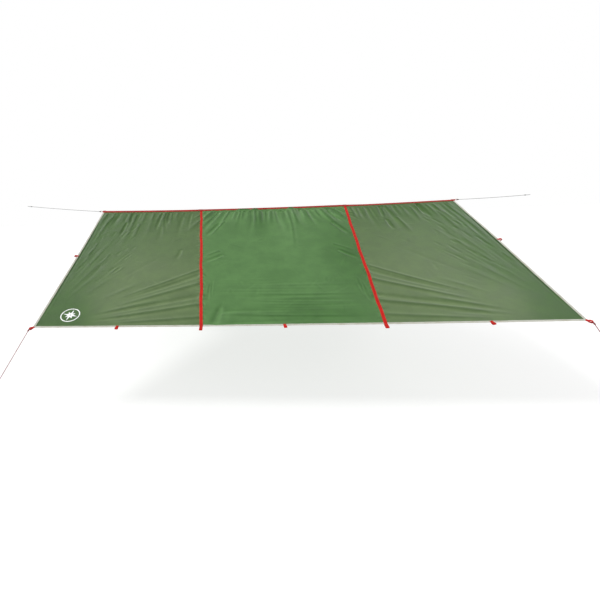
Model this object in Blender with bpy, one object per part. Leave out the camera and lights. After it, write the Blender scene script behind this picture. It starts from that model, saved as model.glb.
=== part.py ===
"""Ridge-hung camping tarp: two sewn slopes, webbing straps and loops, ridge cords,
two guy lines with runners and pegs.

X runs along the ridge, +Z is up, and the front slope comes down toward -Y.
The origin is the middle of the ridge line, on the underside of the ridge webbing.
"""

import bpy
import math
from mathutils import Vector

# ---- driving dimensions, metres and degrees ----
RIDGE_LENGTH = 4.22
EAVE_LENGTH = 4.45
SLOPE_LENGTH = 2.10
SLOPE_ANGLE = 26.0
RIDGE_SAG = 0.028
EAVE_SAG = 0.008
SEAM_AT_RIDGE = 0.870
SEAM_AT_EAVE = 0.748
PANEL_T = 0.0020
WEB_T = 0.0018
WEB_W = 0.025
NARROW_WEB_W = 0.020
HEM_W = 0.018
GAP = 0.0003
SLOPE_TOP = 0.028
STRAP_TOP = 0.030
RIDGE_WING = 0.025
HINGE_Z = 0.014

STRAP_LOOP = (0.042, 0.010)
TAB_LOOP = (0.022, 0.009)
SIDE_LOOP = (0.024, 0.016)
CORNER_LOOP = (0.026, 0.014)
RIDGE_LOOP = (0.034, 0.012)
RIDGE_LOOP_OFF = 0.0012
RIDGE_LIFT = 0.0006
SIDE_TABS_AT = {"left": 0.467, "right": 0.435}
EAVE_TABS_AT = {"left": -1.470, "middle": -0.055, "right": 1.540}
CORNER_TURN = 36.0

GROUND_Z = -1.700
GUY_D = 0.005
RIDGE_CORD_D = 0.004
RIDGE_CORD_LEFT = (0.918, 7.2)
RIDGE_CORD_RIGHT = (0.744, 1.5)
PEG_LEFT = (-2.63, -2.42)
PEG_RIGHT = (2.56, -2.36)
PEG_D = 0.006
PEG_DOWN = 0.165
PEG_LEAN = 25.0
HOOK_R = 0.0105
HAIRPIN_R = 0.0105
HAIRPIN_BACK = 0.0035
RUNNER_UP = 0.200
RUNNER_SIZE = (0.046, 0.013, 0.009)
RUNNER_HOLES = 0.022
RUNNER_HOLE_R = 0.0031

for old in list(bpy.data.objects):
    bpy.data.objects.remove(old, do_unlink=True)

COS = math.cos(math.radians(SLOPE_ANGLE))
SIN = math.sin(math.radians(SLOPE_ANGLE))


def material(name, colour, roughness, metallic=0.0):
    m = bpy.data.materials.new(name)
    m.use_nodes = True
    shader = m.node_tree.nodes["Principled BSDF"]
    shader.inputs["Base Color"].default_value = (*colour, 1.0)
    shader.inputs["Roughness"].default_value = roughness
    shader.inputs["Metallic"].default_value = metallic
    return m


COLOURS = {
    "green_light": ((0.16, 0.24, 0.11), 0.55, 0.0),
    "green_deep": ((0.09, 0.22, 0.07), 0.55, 0.0),
    "red_web": ((0.60, 0.03, 0.02), 0.75, 0.0),
    "hem_grey": ((0.56, 0.57, 0.46), 0.8, 0.0),
    "cord_grey": ((0.42, 0.43, 0.40), 0.8, 0.0),
    "cord_red": ((0.50, 0.12, 0.13), 0.8, 0.0),
    "alloy": ((0.62, 0.63, 0.65), 0.35, 1.0),
    "steel": ((0.50, 0.51, 0.53), 0.3, 1.0),
}


def finish(obj, colour):
    """Every node gets a material of its own, named after the node."""
    rgb, roughness, metallic = COLOURS[colour]
    obj.data.materials.append(material("mat_" + obj.name, rgb, roughness, metallic))
    return obj


def mesh_object(name, verts, faces, colour, origin=(0.0, 0.0, 0.0)):
    base = Vector(origin)
    mesh = bpy.data.meshes.new(name)
    mesh.from_pydata([Vector(v) - base for v in verts], [], faces)
    mesh.validate()
    mesh.update()
    obj = bpy.data.objects.new(name, mesh)
    obj.location = base
    bpy.context.collection.objects.link(obj)
    return finish(obj, colour)


def half_width(v):
    return 0.5 * (RIDGE_LENGTH + (EAVE_LENGTH - RIDGE_LENGTH) * v)


def seam(v):
    return SEAM_AT_RIDGE + (SEAM_AT_EAVE - SEAM_AT_RIDGE) * v


def sag(x, v):
    """Height of the sheet above its lowest line, which is at the middle of the span."""
    u = x / half_width(v)
    return u * u * (RIDGE_SAG * (1.0 - v) + EAVE_SAG * v)


def side_normal(front):
    return Vector((0.0, -SIN if front else SIN, COS))


def side_down(front):
    return Vector((0.0, -COS if front else COS, -SIN))


def on_slope(x, s, up, front):
    """Point at x along the ridge and s down the slope, up above the sheet."""
    v = s / SLOPE_LENGTH
    eave_drop = -EAVE_SAG * v
    p = side_down(front) * s + side_normal(front) * up
    return Vector((x, p.y, p.z + sag(x, v) + eave_drop))


def slab(name, rows, low, high, front, colour, origin):
    """Closed sheet from rows of (x, s) points, between two heights over the slope."""
    count = len(rows[0])
    verts = []
    for level in (low, high):
        for row in rows:
            for x, s in row:
                verts.append(on_slope(x, s, level, front))
    layer = len(rows) * count
    faces = []
    for i in range(len(rows) - 1):
        for j in range(count - 1):
            a = i * count + j
            b = a + 1
            c = a + count + 1
            d = a + count
            faces.append((a, d, c, b))
            faces.append((layer + a, layer + b, layer + c, layer + d))
    rim = [j for j in range(count)]
    rim += [i * count + count - 1 for i in range(1, len(rows))]
    rim += [(len(rows) - 1) * count + j for j in range(count - 2, -1, -1)]
    rim += [i * count for i in range(len(rows) - 2, 0, -1)]
    for k, a in enumerate(rim):
        b = rim[(k + 1) % len(rim)]
        faces.append((a, b, layer + b, layer + a))
    return outward(mesh_object(name, verts, faces, colour, origin))


def outward(obj):
    """Turns the faces outward when the signed volume says that they point in."""
    mesh = obj.data
    volume = 0.0
    for poly in mesh.polygons:
        ids = list(poly.vertices)
        a = mesh.vertices[ids[0]].co
        for k in range(1, len(ids) - 1):
            b = mesh.vertices[ids[k]].co
            c = mesh.vertices[ids[k + 1]].co
            volume += a.dot(b.cross(c))
    if volume < 0.0:
        mesh.flip_normals()
    return obj


def grid(x_left, x_right, s0, s1, columns, steps):
    rows = []
    for i in range(steps + 1):
        s = s0 + (s1 - s0) * i / steps
        v = s / SLOPE_LENGTH
        a = x_left(v)
        b = x_right(v)
        rows.append([(a + (b - a) * j / columns, s) for j in range(columns + 1)])
    return rows


def stadium(length, height, start, wall, steps=7):
    """Outline of a stadium in a plane, from start outward; wall grows it on every side."""
    r = 0.5 * height + wall
    near = start + 0.5 * height
    far = start + length - 0.5 * height
    pts = []
    for k in range(steps + 1):
        a = math.radians(-90.0 + 180.0 * k / steps)
        pts.append((far + r * math.cos(a), r * math.sin(a)))
    for k in range(steps + 1):
        a = math.radians(90.0 + 180.0 * k / steps)
        pts.append((near + r * math.cos(a), r * math.sin(a)))
    return pts


def web_loop(name, at, out, up, size, width, colour, origin):
    """Band of webbing bent into an open loop that stands out from a point."""
    length, height = size
    out = Vector(out).normalized()
    up = Vector(up).normalized()
    across = out.cross(up).normalized()
    start = WEB_T + GAP
    inner = stadium(length, height, start, 0.0)
    outer = stadium(length, height, start, WEB_T)
    n = len(inner)
    verts = []
    for side in (-0.5, 0.5):
        for ring in (outer, inner):
            for d, h in ring:
                verts.append(Vector(at) + out * d + up * h + across * (side * width))
    faces = []
    for k in range(n):
        m = (k + 1) % n
        faces.append((k, m, 2 * n + m, 2 * n + k))
        faces.append((n + m, n + k, 3 * n + k, 3 * n + m))
        faces.append((m, k, n + k, n + m))
        faces.append((2 * n + k, 2 * n + m, 3 * n + m, 3 * n + k))
    return outward(mesh_object(name, verts, faces, colour, origin))


def smooth_route(knots, per_span):
    """Points read from a Catmull-Rom curve through the knots."""
    pts = [Vector(k) for k in knots]
    ends = [2.0 * pts[0] - pts[1]] + pts + [2.0 * pts[-1] - pts[-2]]
    out = []
    for i in range(len(pts) - 1):
        p0, p1, p2, p3 = ends[i : i + 4]
        t01 = max((p1 - p0).length, 1e-6) ** 0.5
        t12 = max((p2 - p1).length, 1e-6) ** 0.5
        t23 = max((p3 - p2).length, 1e-6) ** 0.5
        m1 = (p2 - p1) + t12 * ((p1 - p0) / t01 - (p2 - p0) / (t01 + t12))
        m2 = (p2 - p1) + t12 * ((p3 - p2) / t23 - (p3 - p1) / (t12 + t23))
        n = per_span[i]
        for k in range(n):
            t = k / n
            h1 = 2 * t**3 - 3 * t**2 + 1
            h2 = t**3 - 2 * t**2 + t
            h3 = -2 * t**3 + 3 * t**2
            h4 = t**3 - t**2
            out.append(h1 * p1 + h2 * m1 + h3 * p2 + h4 * m2)
    out.append(pts[-1])
    return out


def tube(name, points, diameter, colour, origin, sides=2):
    base = Vector(origin)
    curve = bpy.data.curves.new(name, "CURVE")
    curve.dimensions = "3D"
    curve.bevel_depth = 0.5 * diameter
    curve.bevel_resolution = sides
    curve.use_fill_caps = True
    spline = curve.splines.new("POLY")
    spline.points.add(len(points) - 1)
    for k, p in enumerate(points):
        q = Vector(p) - base
        spline.points[k].co = (q.x, q.y, q.z, 1.0)
    obj = bpy.data.objects.new(name, curve)
    obj.location = base
    bpy.context.collection.objects.link(obj)
    return finish(obj, colour)


# ---- slopes ----
def build_slope(front):
    side = "front" if front else "rear"
    hinge = (0.0, 0.0, HINGE_Z)
    last = SLOPE_LENGTH - HEM_W - GAP
    inset = HEM_W + GAP
    spans = {
        "left": (lambda v: -half_width(v) + inset, lambda v: -seam(v) - 0.5 * GAP),
        "middle": (lambda v: -seam(v) + 0.5 * GAP, lambda v: seam(v) - 0.5 * GAP),
        "right": (lambda v: seam(v) + 0.5 * GAP, lambda v: half_width(v) - inset),
    }
    for place, (a, b) in spans.items():
        colour = "green_deep" if place == "middle" else "green_light"
        rows = grid(a, b, SLOPE_TOP, last, 10, 8)
        slab(f"panel_{side}_{place}", rows, -PANEL_T, 0.0, front, colour, hinge)
    edges = {
        "left": (lambda v: -half_width(v), lambda v: -half_width(v) + HEM_W),
        "right": (lambda v: half_width(v) - HEM_W, lambda v: half_width(v)),
    }
    for place, (a, b) in edges.items():
        rows = grid(a, b, SLOPE_TOP, last, 1, 16)
        slab(f"hem_{side}_{place}", rows, -PANEL_T, 0.0, front, "hem_grey", hinge)
    rows = grid(
        lambda v: -half_width(v),
        lambda v: half_width(v),
        SLOPE_LENGTH - HEM_W,
        SLOPE_LENGTH,
        32,
        1,
    )
    slab(f"hem_{side}_eave", rows, -PANEL_T, 0.0, front, "hem_grey", hinge)

    up = side_normal(front)
    down = side_down(front)
    mid = -0.5 * PANEL_T
    for place, sign in (("left", -1.0), ("right", 1.0)):
        rows = grid(
            lambda v: sign * seam(v) - 0.5 * WEB_W,
            lambda v: sign * seam(v) + 0.5 * WEB_W,
            STRAP_TOP,
            SLOPE_LENGTH,
            1,
            16,
        )
        slab(f"strap_{side}_{place}", rows, GAP, GAP + WEB_T, front, "red_web", hinge)
        at = on_slope(sign * SEAM_AT_EAVE, SLOPE_LENGTH, mid, front)
        name = f"strap_loop_{side}_{place}"
        web_loop(name, at, down, up, STRAP_LOOP, WEB_W, "red_web", hinge)

        v = SIDE_TABS_AT[place]
        at = on_slope(sign * half_width(v), v * SLOPE_LENGTH, mid, front)
        name = f"side_tab_{side}_{place}"
        out = Vector((sign, 0.0, 0.0))
        web_loop(name, at, out, up, SIDE_LOOP, NARROW_WEB_W, "red_web", hinge)

        turn = math.radians(CORNER_TURN)
        out = Vector((sign * math.cos(turn), 0.0, 0.0)) + down * math.sin(turn)
        at = on_slope(sign * half_width(1.0), SLOPE_LENGTH, mid, front)
        name = f"corner_loop_{side}_{place}"
        web_loop(name, at, out, up, CORNER_LOOP, NARROW_WEB_W, "red_web", hinge)

    for place, x in EAVE_TABS_AT.items():
        at = on_slope(x, SLOPE_LENGTH, mid, front)
        name = f"eave_tab_{side}_{place}"
        web_loop(name, at, down, up, TAB_LOOP, WEB_W, "red_web", hinge)


for is_front in (True, False):
    build_slope(is_front)


# ---- ridge ----
def ridge_section():
    """Inverted V of wide webbing folded over the ridge, as (y, z) points."""
    w = RIDGE_WING
    low = RIDGE_LIFT
    high = low + WEB_T / COS
    inner = [(-w * COS, low - w * SIN), (0.0, low), (w * COS, low - w * SIN)]
    outer = [(w * COS, high - w * SIN), (0.0, high), (-w * COS, high - w * SIN)]
    return inner + outer


def build_ridge():
    steps = 40
    section = ridge_section()
    n = len(section)
    verts = []
    for k in range(steps + 1):
        x = RIDGE_LENGTH * (k / steps - 0.5)
        for y, z in section:
            verts.append(Vector((x, y, z + sag(x, 0.0))))
    faces = []
    for end in (0, n * steps):
        faces.append((end, end + 1, end + 4, end + 5))
        faces.append((end + 1, end + 2, end + 3, end + 4))
    faces[0] = tuple(reversed(faces[0]))
    faces[1] = tuple(reversed(faces[1]))
    for k in range(steps):
        for j in range(n):
            a = n * k + j
            b = n * k + (j + 1) % n
            faces.append((a, b, b + n, a + n))
    outward(mesh_object("ridge_webbing", verts, faces, "red_web"))

    cords = (("left", -1.0, RIDGE_CORD_LEFT), ("right", 1.0, RIDGE_CORD_RIGHT))
    for place, sign, (length, rise) in cords:
        x = sign * 0.5 * RIDGE_LENGTH
        end = Vector((x, 0.0, sag(x, 0.0) + RIDGE_LIFT))
        out = Vector((sign * math.cos(0.026), 0.0, math.sin(0.026)))
        up = Vector((-sign * math.sin(0.026), 0.0, math.cos(0.026)))
        name = f"ridge_loop_{place}"
        root = end + out * RIDGE_LOOP_OFF
        web_loop(name, root, out, up, RIDGE_LOOP, WEB_W, "red_web", (0.0, 0.0, 0.0))
        a = math.radians(rise)
        along = Vector((sign * math.cos(a), 0.0, math.sin(a)))
        start = root + out * (RIDGE_LOOP[0] + 2.0 * WEB_T + 2.0 * GAP + 0.0002)
        drop = Vector((0.0, 0.0, -0.004))
        knots = [
            start,
            start + along * (0.25 * length) + drop * 0.75,
            start + along * (0.5 * length) + drop,
            start + along * (0.75 * length) + drop * 0.75,
            start + along * length,
        ]
        points = smooth_route(knots, [18, 18, 18, 18])
        name = f"ridge_cord_{place}"
        tube(name, points, RIDGE_CORD_D, "cord_grey", (0.0, 0.0, 0.0))


build_ridge()


# ---- guy lines with runner and peg ----
def build_guy(place, sign, foot):
    turn = math.radians(CORNER_TURN)
    out = Vector((sign * math.cos(turn), 0.0, 0.0)) + side_down(True) * math.sin(turn)
    corner = on_slope(sign * half_width(1.0), SLOPE_LENGTH, -0.5 * PANEL_T, True)
    reach = CORNER_LOOP[0] + 2.0 * WEB_T + GAP
    tip = corner + out * reach
    pivot = corner + out * (reach - WEB_T - 0.5 * CORNER_LOOP[1])
    hook = Vector((foot[0], foot[1], GROUND_Z + 0.020))
    g = (hook - tip).normalized()
    side = Vector((0.0, 0.0, 1.0)).cross(g).normalized()

    start = tip + g * 0.0022
    runner = hook - g * RUNNER_UP
    half = 0.5 * RUNNER_HOLES
    bend = hook - g * HAIRPIN_BACK
    back = runner + side * RUNNER_HOLES
    knots = [
        start,
        start.lerp(runner, 0.5),
        runner - g * 0.030,
        runner + g * 0.012,
        runner + g * 0.090 - side * (0.35 * HAIRPIN_R),
    ]
    for deg in (-90.0, -45.0, 0.0, 45.0, 90.0):
        a = math.radians(deg)
        knots.append(bend + (g * math.cos(a) + side * math.sin(a)) * HAIRPIN_R)
    knots += [
        back + g * 0.090 - side * (0.30 * RUNNER_HOLES),
        back + g * 0.012,
        back - g * 0.018,
    ]
    points = smooth_route(knots, [20, 19, 3, 6, 8, 3, 3, 3, 3, 8, 5, 2])
    tube(f"guy_line_{place}", points, GUY_D, "cord_red", pivot)

    build_runner(f"guy_runner_{place}", runner, g, side, half)
    build_peg(f"guy_peg_{place}", hook, sign, g)


def build_runner(name, at, g, side, half):
    """Flat alloy bar with two holes; the line goes through both."""
    length, width, thick = RUNNER_SIZE
    deep = g.cross(side).normalized()
    centre = at + side * half
    steps = 10
    outline = []
    straight = 0.5 * (length - width)
    for end in (1.0, -1.0):
        for k in range(steps + 1):
            a = math.radians(90.0 - 180.0 * k / steps)
            u = end * (straight + 0.5 * width * math.cos(a))
            w = end * 0.5 * width * math.sin(a)
            outline.append((u, w))
    verts = []
    for level in (-0.5, 0.5):
        for u, w in outline:
            verts.append(centre + side * u + deep * w + g * (level * thick))
    n = len(outline)
    faces = [tuple(range(n)), tuple(range(2 * n - 1, n - 1, -1))]
    for k in range(n):
        m = (k + 1) % n
        faces.append((k, n + k, n + m, m))
    obj = outward(mesh_object(name, verts, faces, "alloy", centre))
    for shift in (-half, half):
        cutter_name = f"{name}_cut_{'a' if shift < 0 else 'b'}"
        ring = []
        for level in (-1.0, 1.0):
            for k in range(16):
                a = 2.0 * math.pi * k / 16
                p = side * (shift + RUNNER_HOLE_R * math.cos(a))
                p = p + deep * (RUNNER_HOLE_R * math.sin(a)) + g * (level * thick)
                ring.append(centre + p)
        faces = [tuple(range(16)), tuple(range(31, 15, -1))]
        for k in range(16):
            m = (k + 1) % 16
            faces.append((k, 16 + k, 16 + m, m))
        cutter = outward(mesh_object(cutter_name, ring, faces, "alloy", centre))
        cutter.hide_render = True
        cutter.display_type = "WIRE"
        cut = obj.modifiers.new("hole", "BOOLEAN")
        cut.operation = "DIFFERENCE"
        cut.solver = "EXACT"
        cut.object = cutter


def build_peg(name, hook, sign, g):
    """Round steel peg, driven in at a lean, with its top bent over as a hook."""
    away = Vector((g.x, g.y, 0.0)).normalized()
    lean = math.radians(PEG_LEAN)
    shaft = Vector((0.0, 0.0, math.cos(lean))) + away * math.sin(lean)
    over = away * math.cos(lean) - Vector((0.0, 0.0, math.sin(lean)))
    top = hook + shaft * 0.016
    knots = [hook - shaft * PEG_DOWN, hook - shaft * (0.5 * PEG_DOWN), hook, top]
    for deg in (45.0, 90.0, 135.0, 180.0):
        a = math.radians(deg)
        turn = over * (HOOK_R * (1.0 - math.cos(a))) + shaft * (HOOK_R * math.sin(a))
        knots.append(top + turn)
    knots.append(top + over * (2.0 * HOOK_R) - shaft * 0.012)
    points = smooth_route(knots, [6, 6, 2, 3, 3, 3, 3, 3])
    tube(name, points, PEG_D, "steel", hook, 3)


build_guy("left", -1.0, PEG_LEFT)
build_guy("right", 1.0, PEG_RIGHT)
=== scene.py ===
"""Looks for a ridge-hung camping tarp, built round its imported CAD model.

A place on the cloth is x along the ridge, s down a slope from the ridge, and up off the
cloth, in metres. The front slope comes down toward -Y.
"""

import math

import bpy
import numpy as np
from mathutils import Matrix, Vector


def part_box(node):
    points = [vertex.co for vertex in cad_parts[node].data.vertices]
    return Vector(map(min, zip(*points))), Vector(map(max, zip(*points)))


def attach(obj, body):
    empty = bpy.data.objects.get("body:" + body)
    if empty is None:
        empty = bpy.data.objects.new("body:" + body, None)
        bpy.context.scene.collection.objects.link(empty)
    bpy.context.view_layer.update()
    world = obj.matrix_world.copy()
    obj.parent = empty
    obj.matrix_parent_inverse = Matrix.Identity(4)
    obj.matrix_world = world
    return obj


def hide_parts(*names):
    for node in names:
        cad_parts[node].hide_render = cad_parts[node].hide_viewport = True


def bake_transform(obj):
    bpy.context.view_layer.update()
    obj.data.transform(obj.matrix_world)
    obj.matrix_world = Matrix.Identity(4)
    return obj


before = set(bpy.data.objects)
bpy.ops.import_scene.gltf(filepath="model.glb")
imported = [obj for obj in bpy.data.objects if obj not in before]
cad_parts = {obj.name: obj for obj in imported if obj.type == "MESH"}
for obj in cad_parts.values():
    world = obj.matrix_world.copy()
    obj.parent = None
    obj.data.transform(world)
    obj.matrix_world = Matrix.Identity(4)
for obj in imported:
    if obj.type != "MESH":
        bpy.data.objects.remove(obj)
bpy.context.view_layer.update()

# ---- the sheet, as in the CAD model: metres and degrees ----
RIDGE_LENGTH = 2.0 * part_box("ridge_webbing")[1].x
EAVE_LENGTH = 2.0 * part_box("hem_front_eave")[1].x
SLOPE_LENGTH = 2.10
SLOPE_ANGLE = math.radians(26.0)
COS = math.cos(SLOPE_ANGLE)
SIN = math.sin(SLOPE_ANGLE)
RIDGE_SAG = 0.028
EAVE_SAG = 0.008
SEAM_AT_RIDGE = 0.870
SEAM_AT_EAVE = 0.748
HEM_W = 0.018
WEB_T = 0.0018
WEB_W = 0.025
NARROW_WEB_W = 0.020
GAP = 0.0003
SIDE_TABS_AT = {"left": 0.467, "right": 0.435}
EAVE_TABS = {"left": (-1.470, 0.14), "middle": (-0.055, -0.20), "right": (1.540, -0.26)}  # x, slant
CORNER_TURN = math.radians(36.0)
STRAP_LOOP = (0.042, 0.010)
STRAP_LOOP_W = 0.027
TAB_LOOP = (0.022, 0.009)
SIDE_LOOP = (0.024, 0.016)
CORNER_LOOP = (0.026, 0.014)
RIDGE_LOOP = (0.034, 0.012)
RIDGE_LOOP_OFF = 0.0012
RIDGE_LIFT = 0.0006
RIDGE_WING = 0.025
RIDGE_END_RISE = 0.026  # the angle of the ridge loops, in radians

# ---- cords, runners and pegs, as in the CAD model ----
GROUND_Z = -1.700
GUY_D = 0.005
RIDGE_CORD_D = 0.004
RIDGE_CORDS = {"left": (0.918, 6.2), "right": (0.744, 1.5)}
PEGS = {"left": (-2.63, -2.42), "right": (2.56, -2.36)}
PEG_D = 0.006
PEG_DOWN = 0.165
PEG_LEAN = math.radians(25.0)
HOOK_R = 0.0105
HAIRPIN_R = 0.0105
HAIRPIN_BACK = 0.0035
RUNNER_UP = 0.200
RUNNER_SIZE = (0.046, 0.013, 0.009)
RUNNER_HOLES = 0.022
RUNNER_HOLE_R = 0.0031

# ---- the finer cloth ----
CLOTH_T = 0.0008
CLOTH_UP = -0.0009
TAPE_T = 0.00045
TAPE_UP = 0.0011  # its middle, over the middle of the cloth
STRAP_T = 0.0013
STRAP_W = 0.028
STRAP_UP = 0.0010
LOOP_T = 0.0015
CLOTH_STEP = 0.0095
SIDES = {"left": -1.0, "right": 1.0}


# ---- the shape of the cloth ----
BEADS = {"left": 0.0085, "middle": 0.010, "right": 0.004}  # how far each gathered seam stands up
BEAD_REACH = 0.015
TUCKS = ((-0.34, 0.075), (-0.20, 0.035), (0.23, 0.030))  # x and half width
TUCK_UP, TUCK_AT, TUCK_WIDE = 0.016, 0.022, 0.0095
RIDGE_TILT = -0.016
FOLD_R = 0.003


def smooth(low, high, value):
    t = np.clip((value - low) / (high - low), 0.0, 1.0)
    return t * t * (3.0 - 2.0 * t)


def half_width(v):
    return 0.5 * (RIDGE_LENGTH + (EAVE_LENGTH - RIDGE_LENGTH) * v)


def seam(v):
    return SEAM_AT_RIDGE + (SEAM_AT_EAVE - SEAM_AT_RIDGE) * v


def seam_x(sign, s):
    """The sewn seam, which wanders a little from the straight line."""
    wave = 0.0022 * np.sin(s * 9.7 + 0.6 * sign) + 0.0013 * np.sin(s * 23.0 + 1.7 - sign)
    fade = smooth(0.03, 0.25, s) * (1.0 - smooth(1.85, 2.08, s))
    pull = np.where(sign < 0, 0.008 - 0.003 * s, -0.008 * smooth(0.0, 0.9, s))
    return sign * seam(s / SLOPE_LENGTH) + wave * fade + pull


def sag(x, v):
    u = x / half_width(v)
    return u * u * (RIDGE_SAG * (1.0 - v) + EAVE_SAG * v)


def bead(x):
    """How far the gathered seam lifts the cloth along the ridge."""
    ends = np.where(x < 0.0, BEADS["left"], BEADS["right"])
    return BEADS["middle"] + (ends - BEADS["middle"]) * smooth(0.78, 1.15, np.abs(x))


def tuck(x):
    """Where the gathered cloth puffs up in front of the ridge webbing, from 0 to 1."""
    return sum(np.exp(-(((x - at) / wide) ** 4)) for at, wide in TUCKS)


def tilt(x, s):
    """The ridge is tied a little higher at its left end."""
    return RIDGE_TILT * x / half_width(0.0) * (1.0 - smooth(0.0, 0.9, np.abs(s)))


def on_cloth(x, s, up, front):
    """World points for places on the cloth. A negative s is on the other slope."""
    x, s, up = np.broadcast_arrays(x, s, up)
    v = np.abs(s) / SLOPE_LENGTH
    side = -1.0 if front else 1.0
    y = side * (COS * s + SIN * up * np.sign(s + 1e-9))
    z = COS * up - SIN * np.sqrt(s * s + FOLD_R**2)
    z = z + sag(x, v) - EAVE_SAG * v + bead(x) * np.exp(-((s / BEAD_REACH) ** 2)) + tilt(x, s)
    return np.stack([x, y, z], axis=-1)


def down_of(front):
    return Vector((0.0, -COS if front else COS, -SIN))


def up_of(front):
    return Vector((0.0, -SIN if front else SIN, COS))


def bowed(start, end, bow, count=6):
    """Points (x, s) on a curve from start to end that bows sideways by a share of its length."""
    a, b = np.array(start, float), np.array(end, float)
    side = np.array([-(b - a)[1], (b - a)[0]])
    middle = 0.5 * (a + b) + side * (2.0 * bow)
    t = np.linspace(0.0, 1.0, count)[:, None]
    return (1 - t) ** 2 * a + 2 * t * (1 - t) * middle + t**2 * b


# Where sewing holds folds flat: from and to this distance, or up to it.
STRAP_HOLD = (0.013, 0.040)
RIDGE_HOLD = (0.024, 0.060)
HEM_HOLD, EAVE_HOLD = 0.09, 0.07
GROOVE, GROOVE_IN, GROOVE_WIDE = 0.0035, 0.036, 0.013
BILLOW_SIDE, BILLOW_MIDDLE = 0.012, 0.016


class Relief:
    """The folds of one slope, each a long soft ridge or hollow along a curve on the cloth."""

    def __init__(self):
        self.folds = []

    def fold(self, points, width, height, skew=0.0, grow=0.4, rise=0.25, fade=0.5):
        self.folds.append((np.array(points, float), width, height, skew, grow, rise, fade))

    def folded(self, x, s):
        """The height of the folds alone, before anything holds them flat."""
        x, s = (np.array(a, float) for a in np.broadcast_arrays(x, s))
        total = np.zeros(x.shape)
        for points, width, height, skew, grow, rise, fade in self.folds:
            reach = 2.7 * width * (1.0 + grow)
            low, high = points.min(0) - reach, points.max(0) + reach
            near = (x > low[0]) & (x < high[0]) & (s > low[1]) & (s < high[1])
            if not near.any():
                continue
            px, ps = x[near], s[near]
            best = np.full(px.shape, 1e9)
            across, at = np.zeros(px.shape), np.zeros(px.shape)
            spans = len(points) - 1
            for k in range(spans):
                (ax, as_), (dx, ds) = points[k], points[k + 1] - points[k]
                long = math.hypot(dx, ds)
                t = np.clip(((px - ax) * dx + (ps - as_) * ds) / long**2, 0.0, 1.0)
                ex, es = px - ax - t * dx, ps - as_ - t * ds
                far = np.hypot(ex, es)
                closer = far < best
                best = np.where(closer, far, best)
                across = np.where(closer, (dx * es - ds * ex) / long, across)
                at = np.where(closer, (k + t) / spans, at)
            w = width * (1.0 + grow * at)
            shape = np.exp(-((best / w) ** 2)) * (1.0 + skew * across / w)
            ends = smooth(0.0, rise, at) * (1.0 - smooth(1.0 - fade, 1.0, at))
            total[near] += height * shape * ends
        return total

    def sewn(self, total, x, s, straps=True):
        """Folds flatten where the cloth is sewn. The hems pull grooves, and panels billow."""
        v = np.clip(s / SLOPE_LENGTH, 0.0, 1.0)
        inward = half_width(s / SLOPE_LENGTH) - np.abs(x)
        off = np.minimum(np.abs(x - seam_x(-1.0, s)), np.abs(x - seam_x(1.0, s)))
        strap = 0.08 + 0.92 * smooth(*STRAP_HOLD, off) if straps else 1.0
        edge = 0.35 + 0.65 * smooth(0.0, HEM_HOLD, inward)
        eave = 0.35 + 0.65 * smooth(0.0, EAVE_HOLD, SLOPE_LENGTH - s)
        folds = total * strap * edge * eave * smooth(*RIDGE_HOLD, s)

        outer = np.abs(x) > seam(v)
        to_side = (np.abs(x) - seam(v)) / (half_width(v) - seam(v))
        share = np.where(outer, to_side, 0.5 + 0.5 * x / seam(v))
        deep = np.where(outer, BILLOW_SIDE, BILLOW_MIDDLE)
        billow = -deep * np.sin(np.pi * np.clip(share, 0, 1)) * np.sin(np.pi * v) ** 1.3

        dip = np.exp(-(((inward - GROOVE_IN) / GROOVE_WIDE) ** 2))
        groove = -GROOVE * dip * smooth(0.10, 0.40, s) * (1.0 - smooth(1.75, 2.05, s))
        return folds + billow + groove

    def height(self, x, s):
        return self.sewn(self.folded(x, s), x, s)


# Long folds that run from a corner: degrees from the eave, near end from the corner, far end
# (None where the fold runs under the strap), height and width. The guy lines pull them up.
CORNER_RAYS = (
    (4.5, 0.55, None, 0.003, 0.016), (8.0, 0.45, 1.05, -0.0018, 0.014),
    (11.0, 0.5, None, 0.0046, 0.019), (14.5, 0.4, None, -0.0036, 0.02),
    (18.0, 0.5, 1.2, 0.003, 0.018), (22.0, 0.65, None, 0.0044, 0.021),
    (27.0, 0.8, None, -0.0034, 0.019), (29.5, 0.7, None, 0.0026, 0.015),
    (36.0, 0.6, 1.15, 0.0018, 0.022), (47.0, 0.7, 1.72, -0.0017, 0.022),
    (53.0, 0.45, 1.15, 0.0024, 0.02), (58.0, 0.55, 1.4, -0.002, 0.018),
    (63.0, 0.35, 1.0, 0.0028, 0.017), (67.0, 0.4, 1.35, -0.0026, 0.016),
    (71.0, 0.4, 1.2, 0.003, 0.014), (74.5, 0.6, 1.8, 0.0028, 0.015),
    (78.0, 0.45, 1.4, -0.0024, 0.013), (81.0, 0.8, 1.9, 0.0026, 0.013),
    (84.0, 0.6, 1.7, -0.002, 0.011),
)
RAY_DEPTH = 2.1
UNDER_STRAP = 0.035
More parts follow.
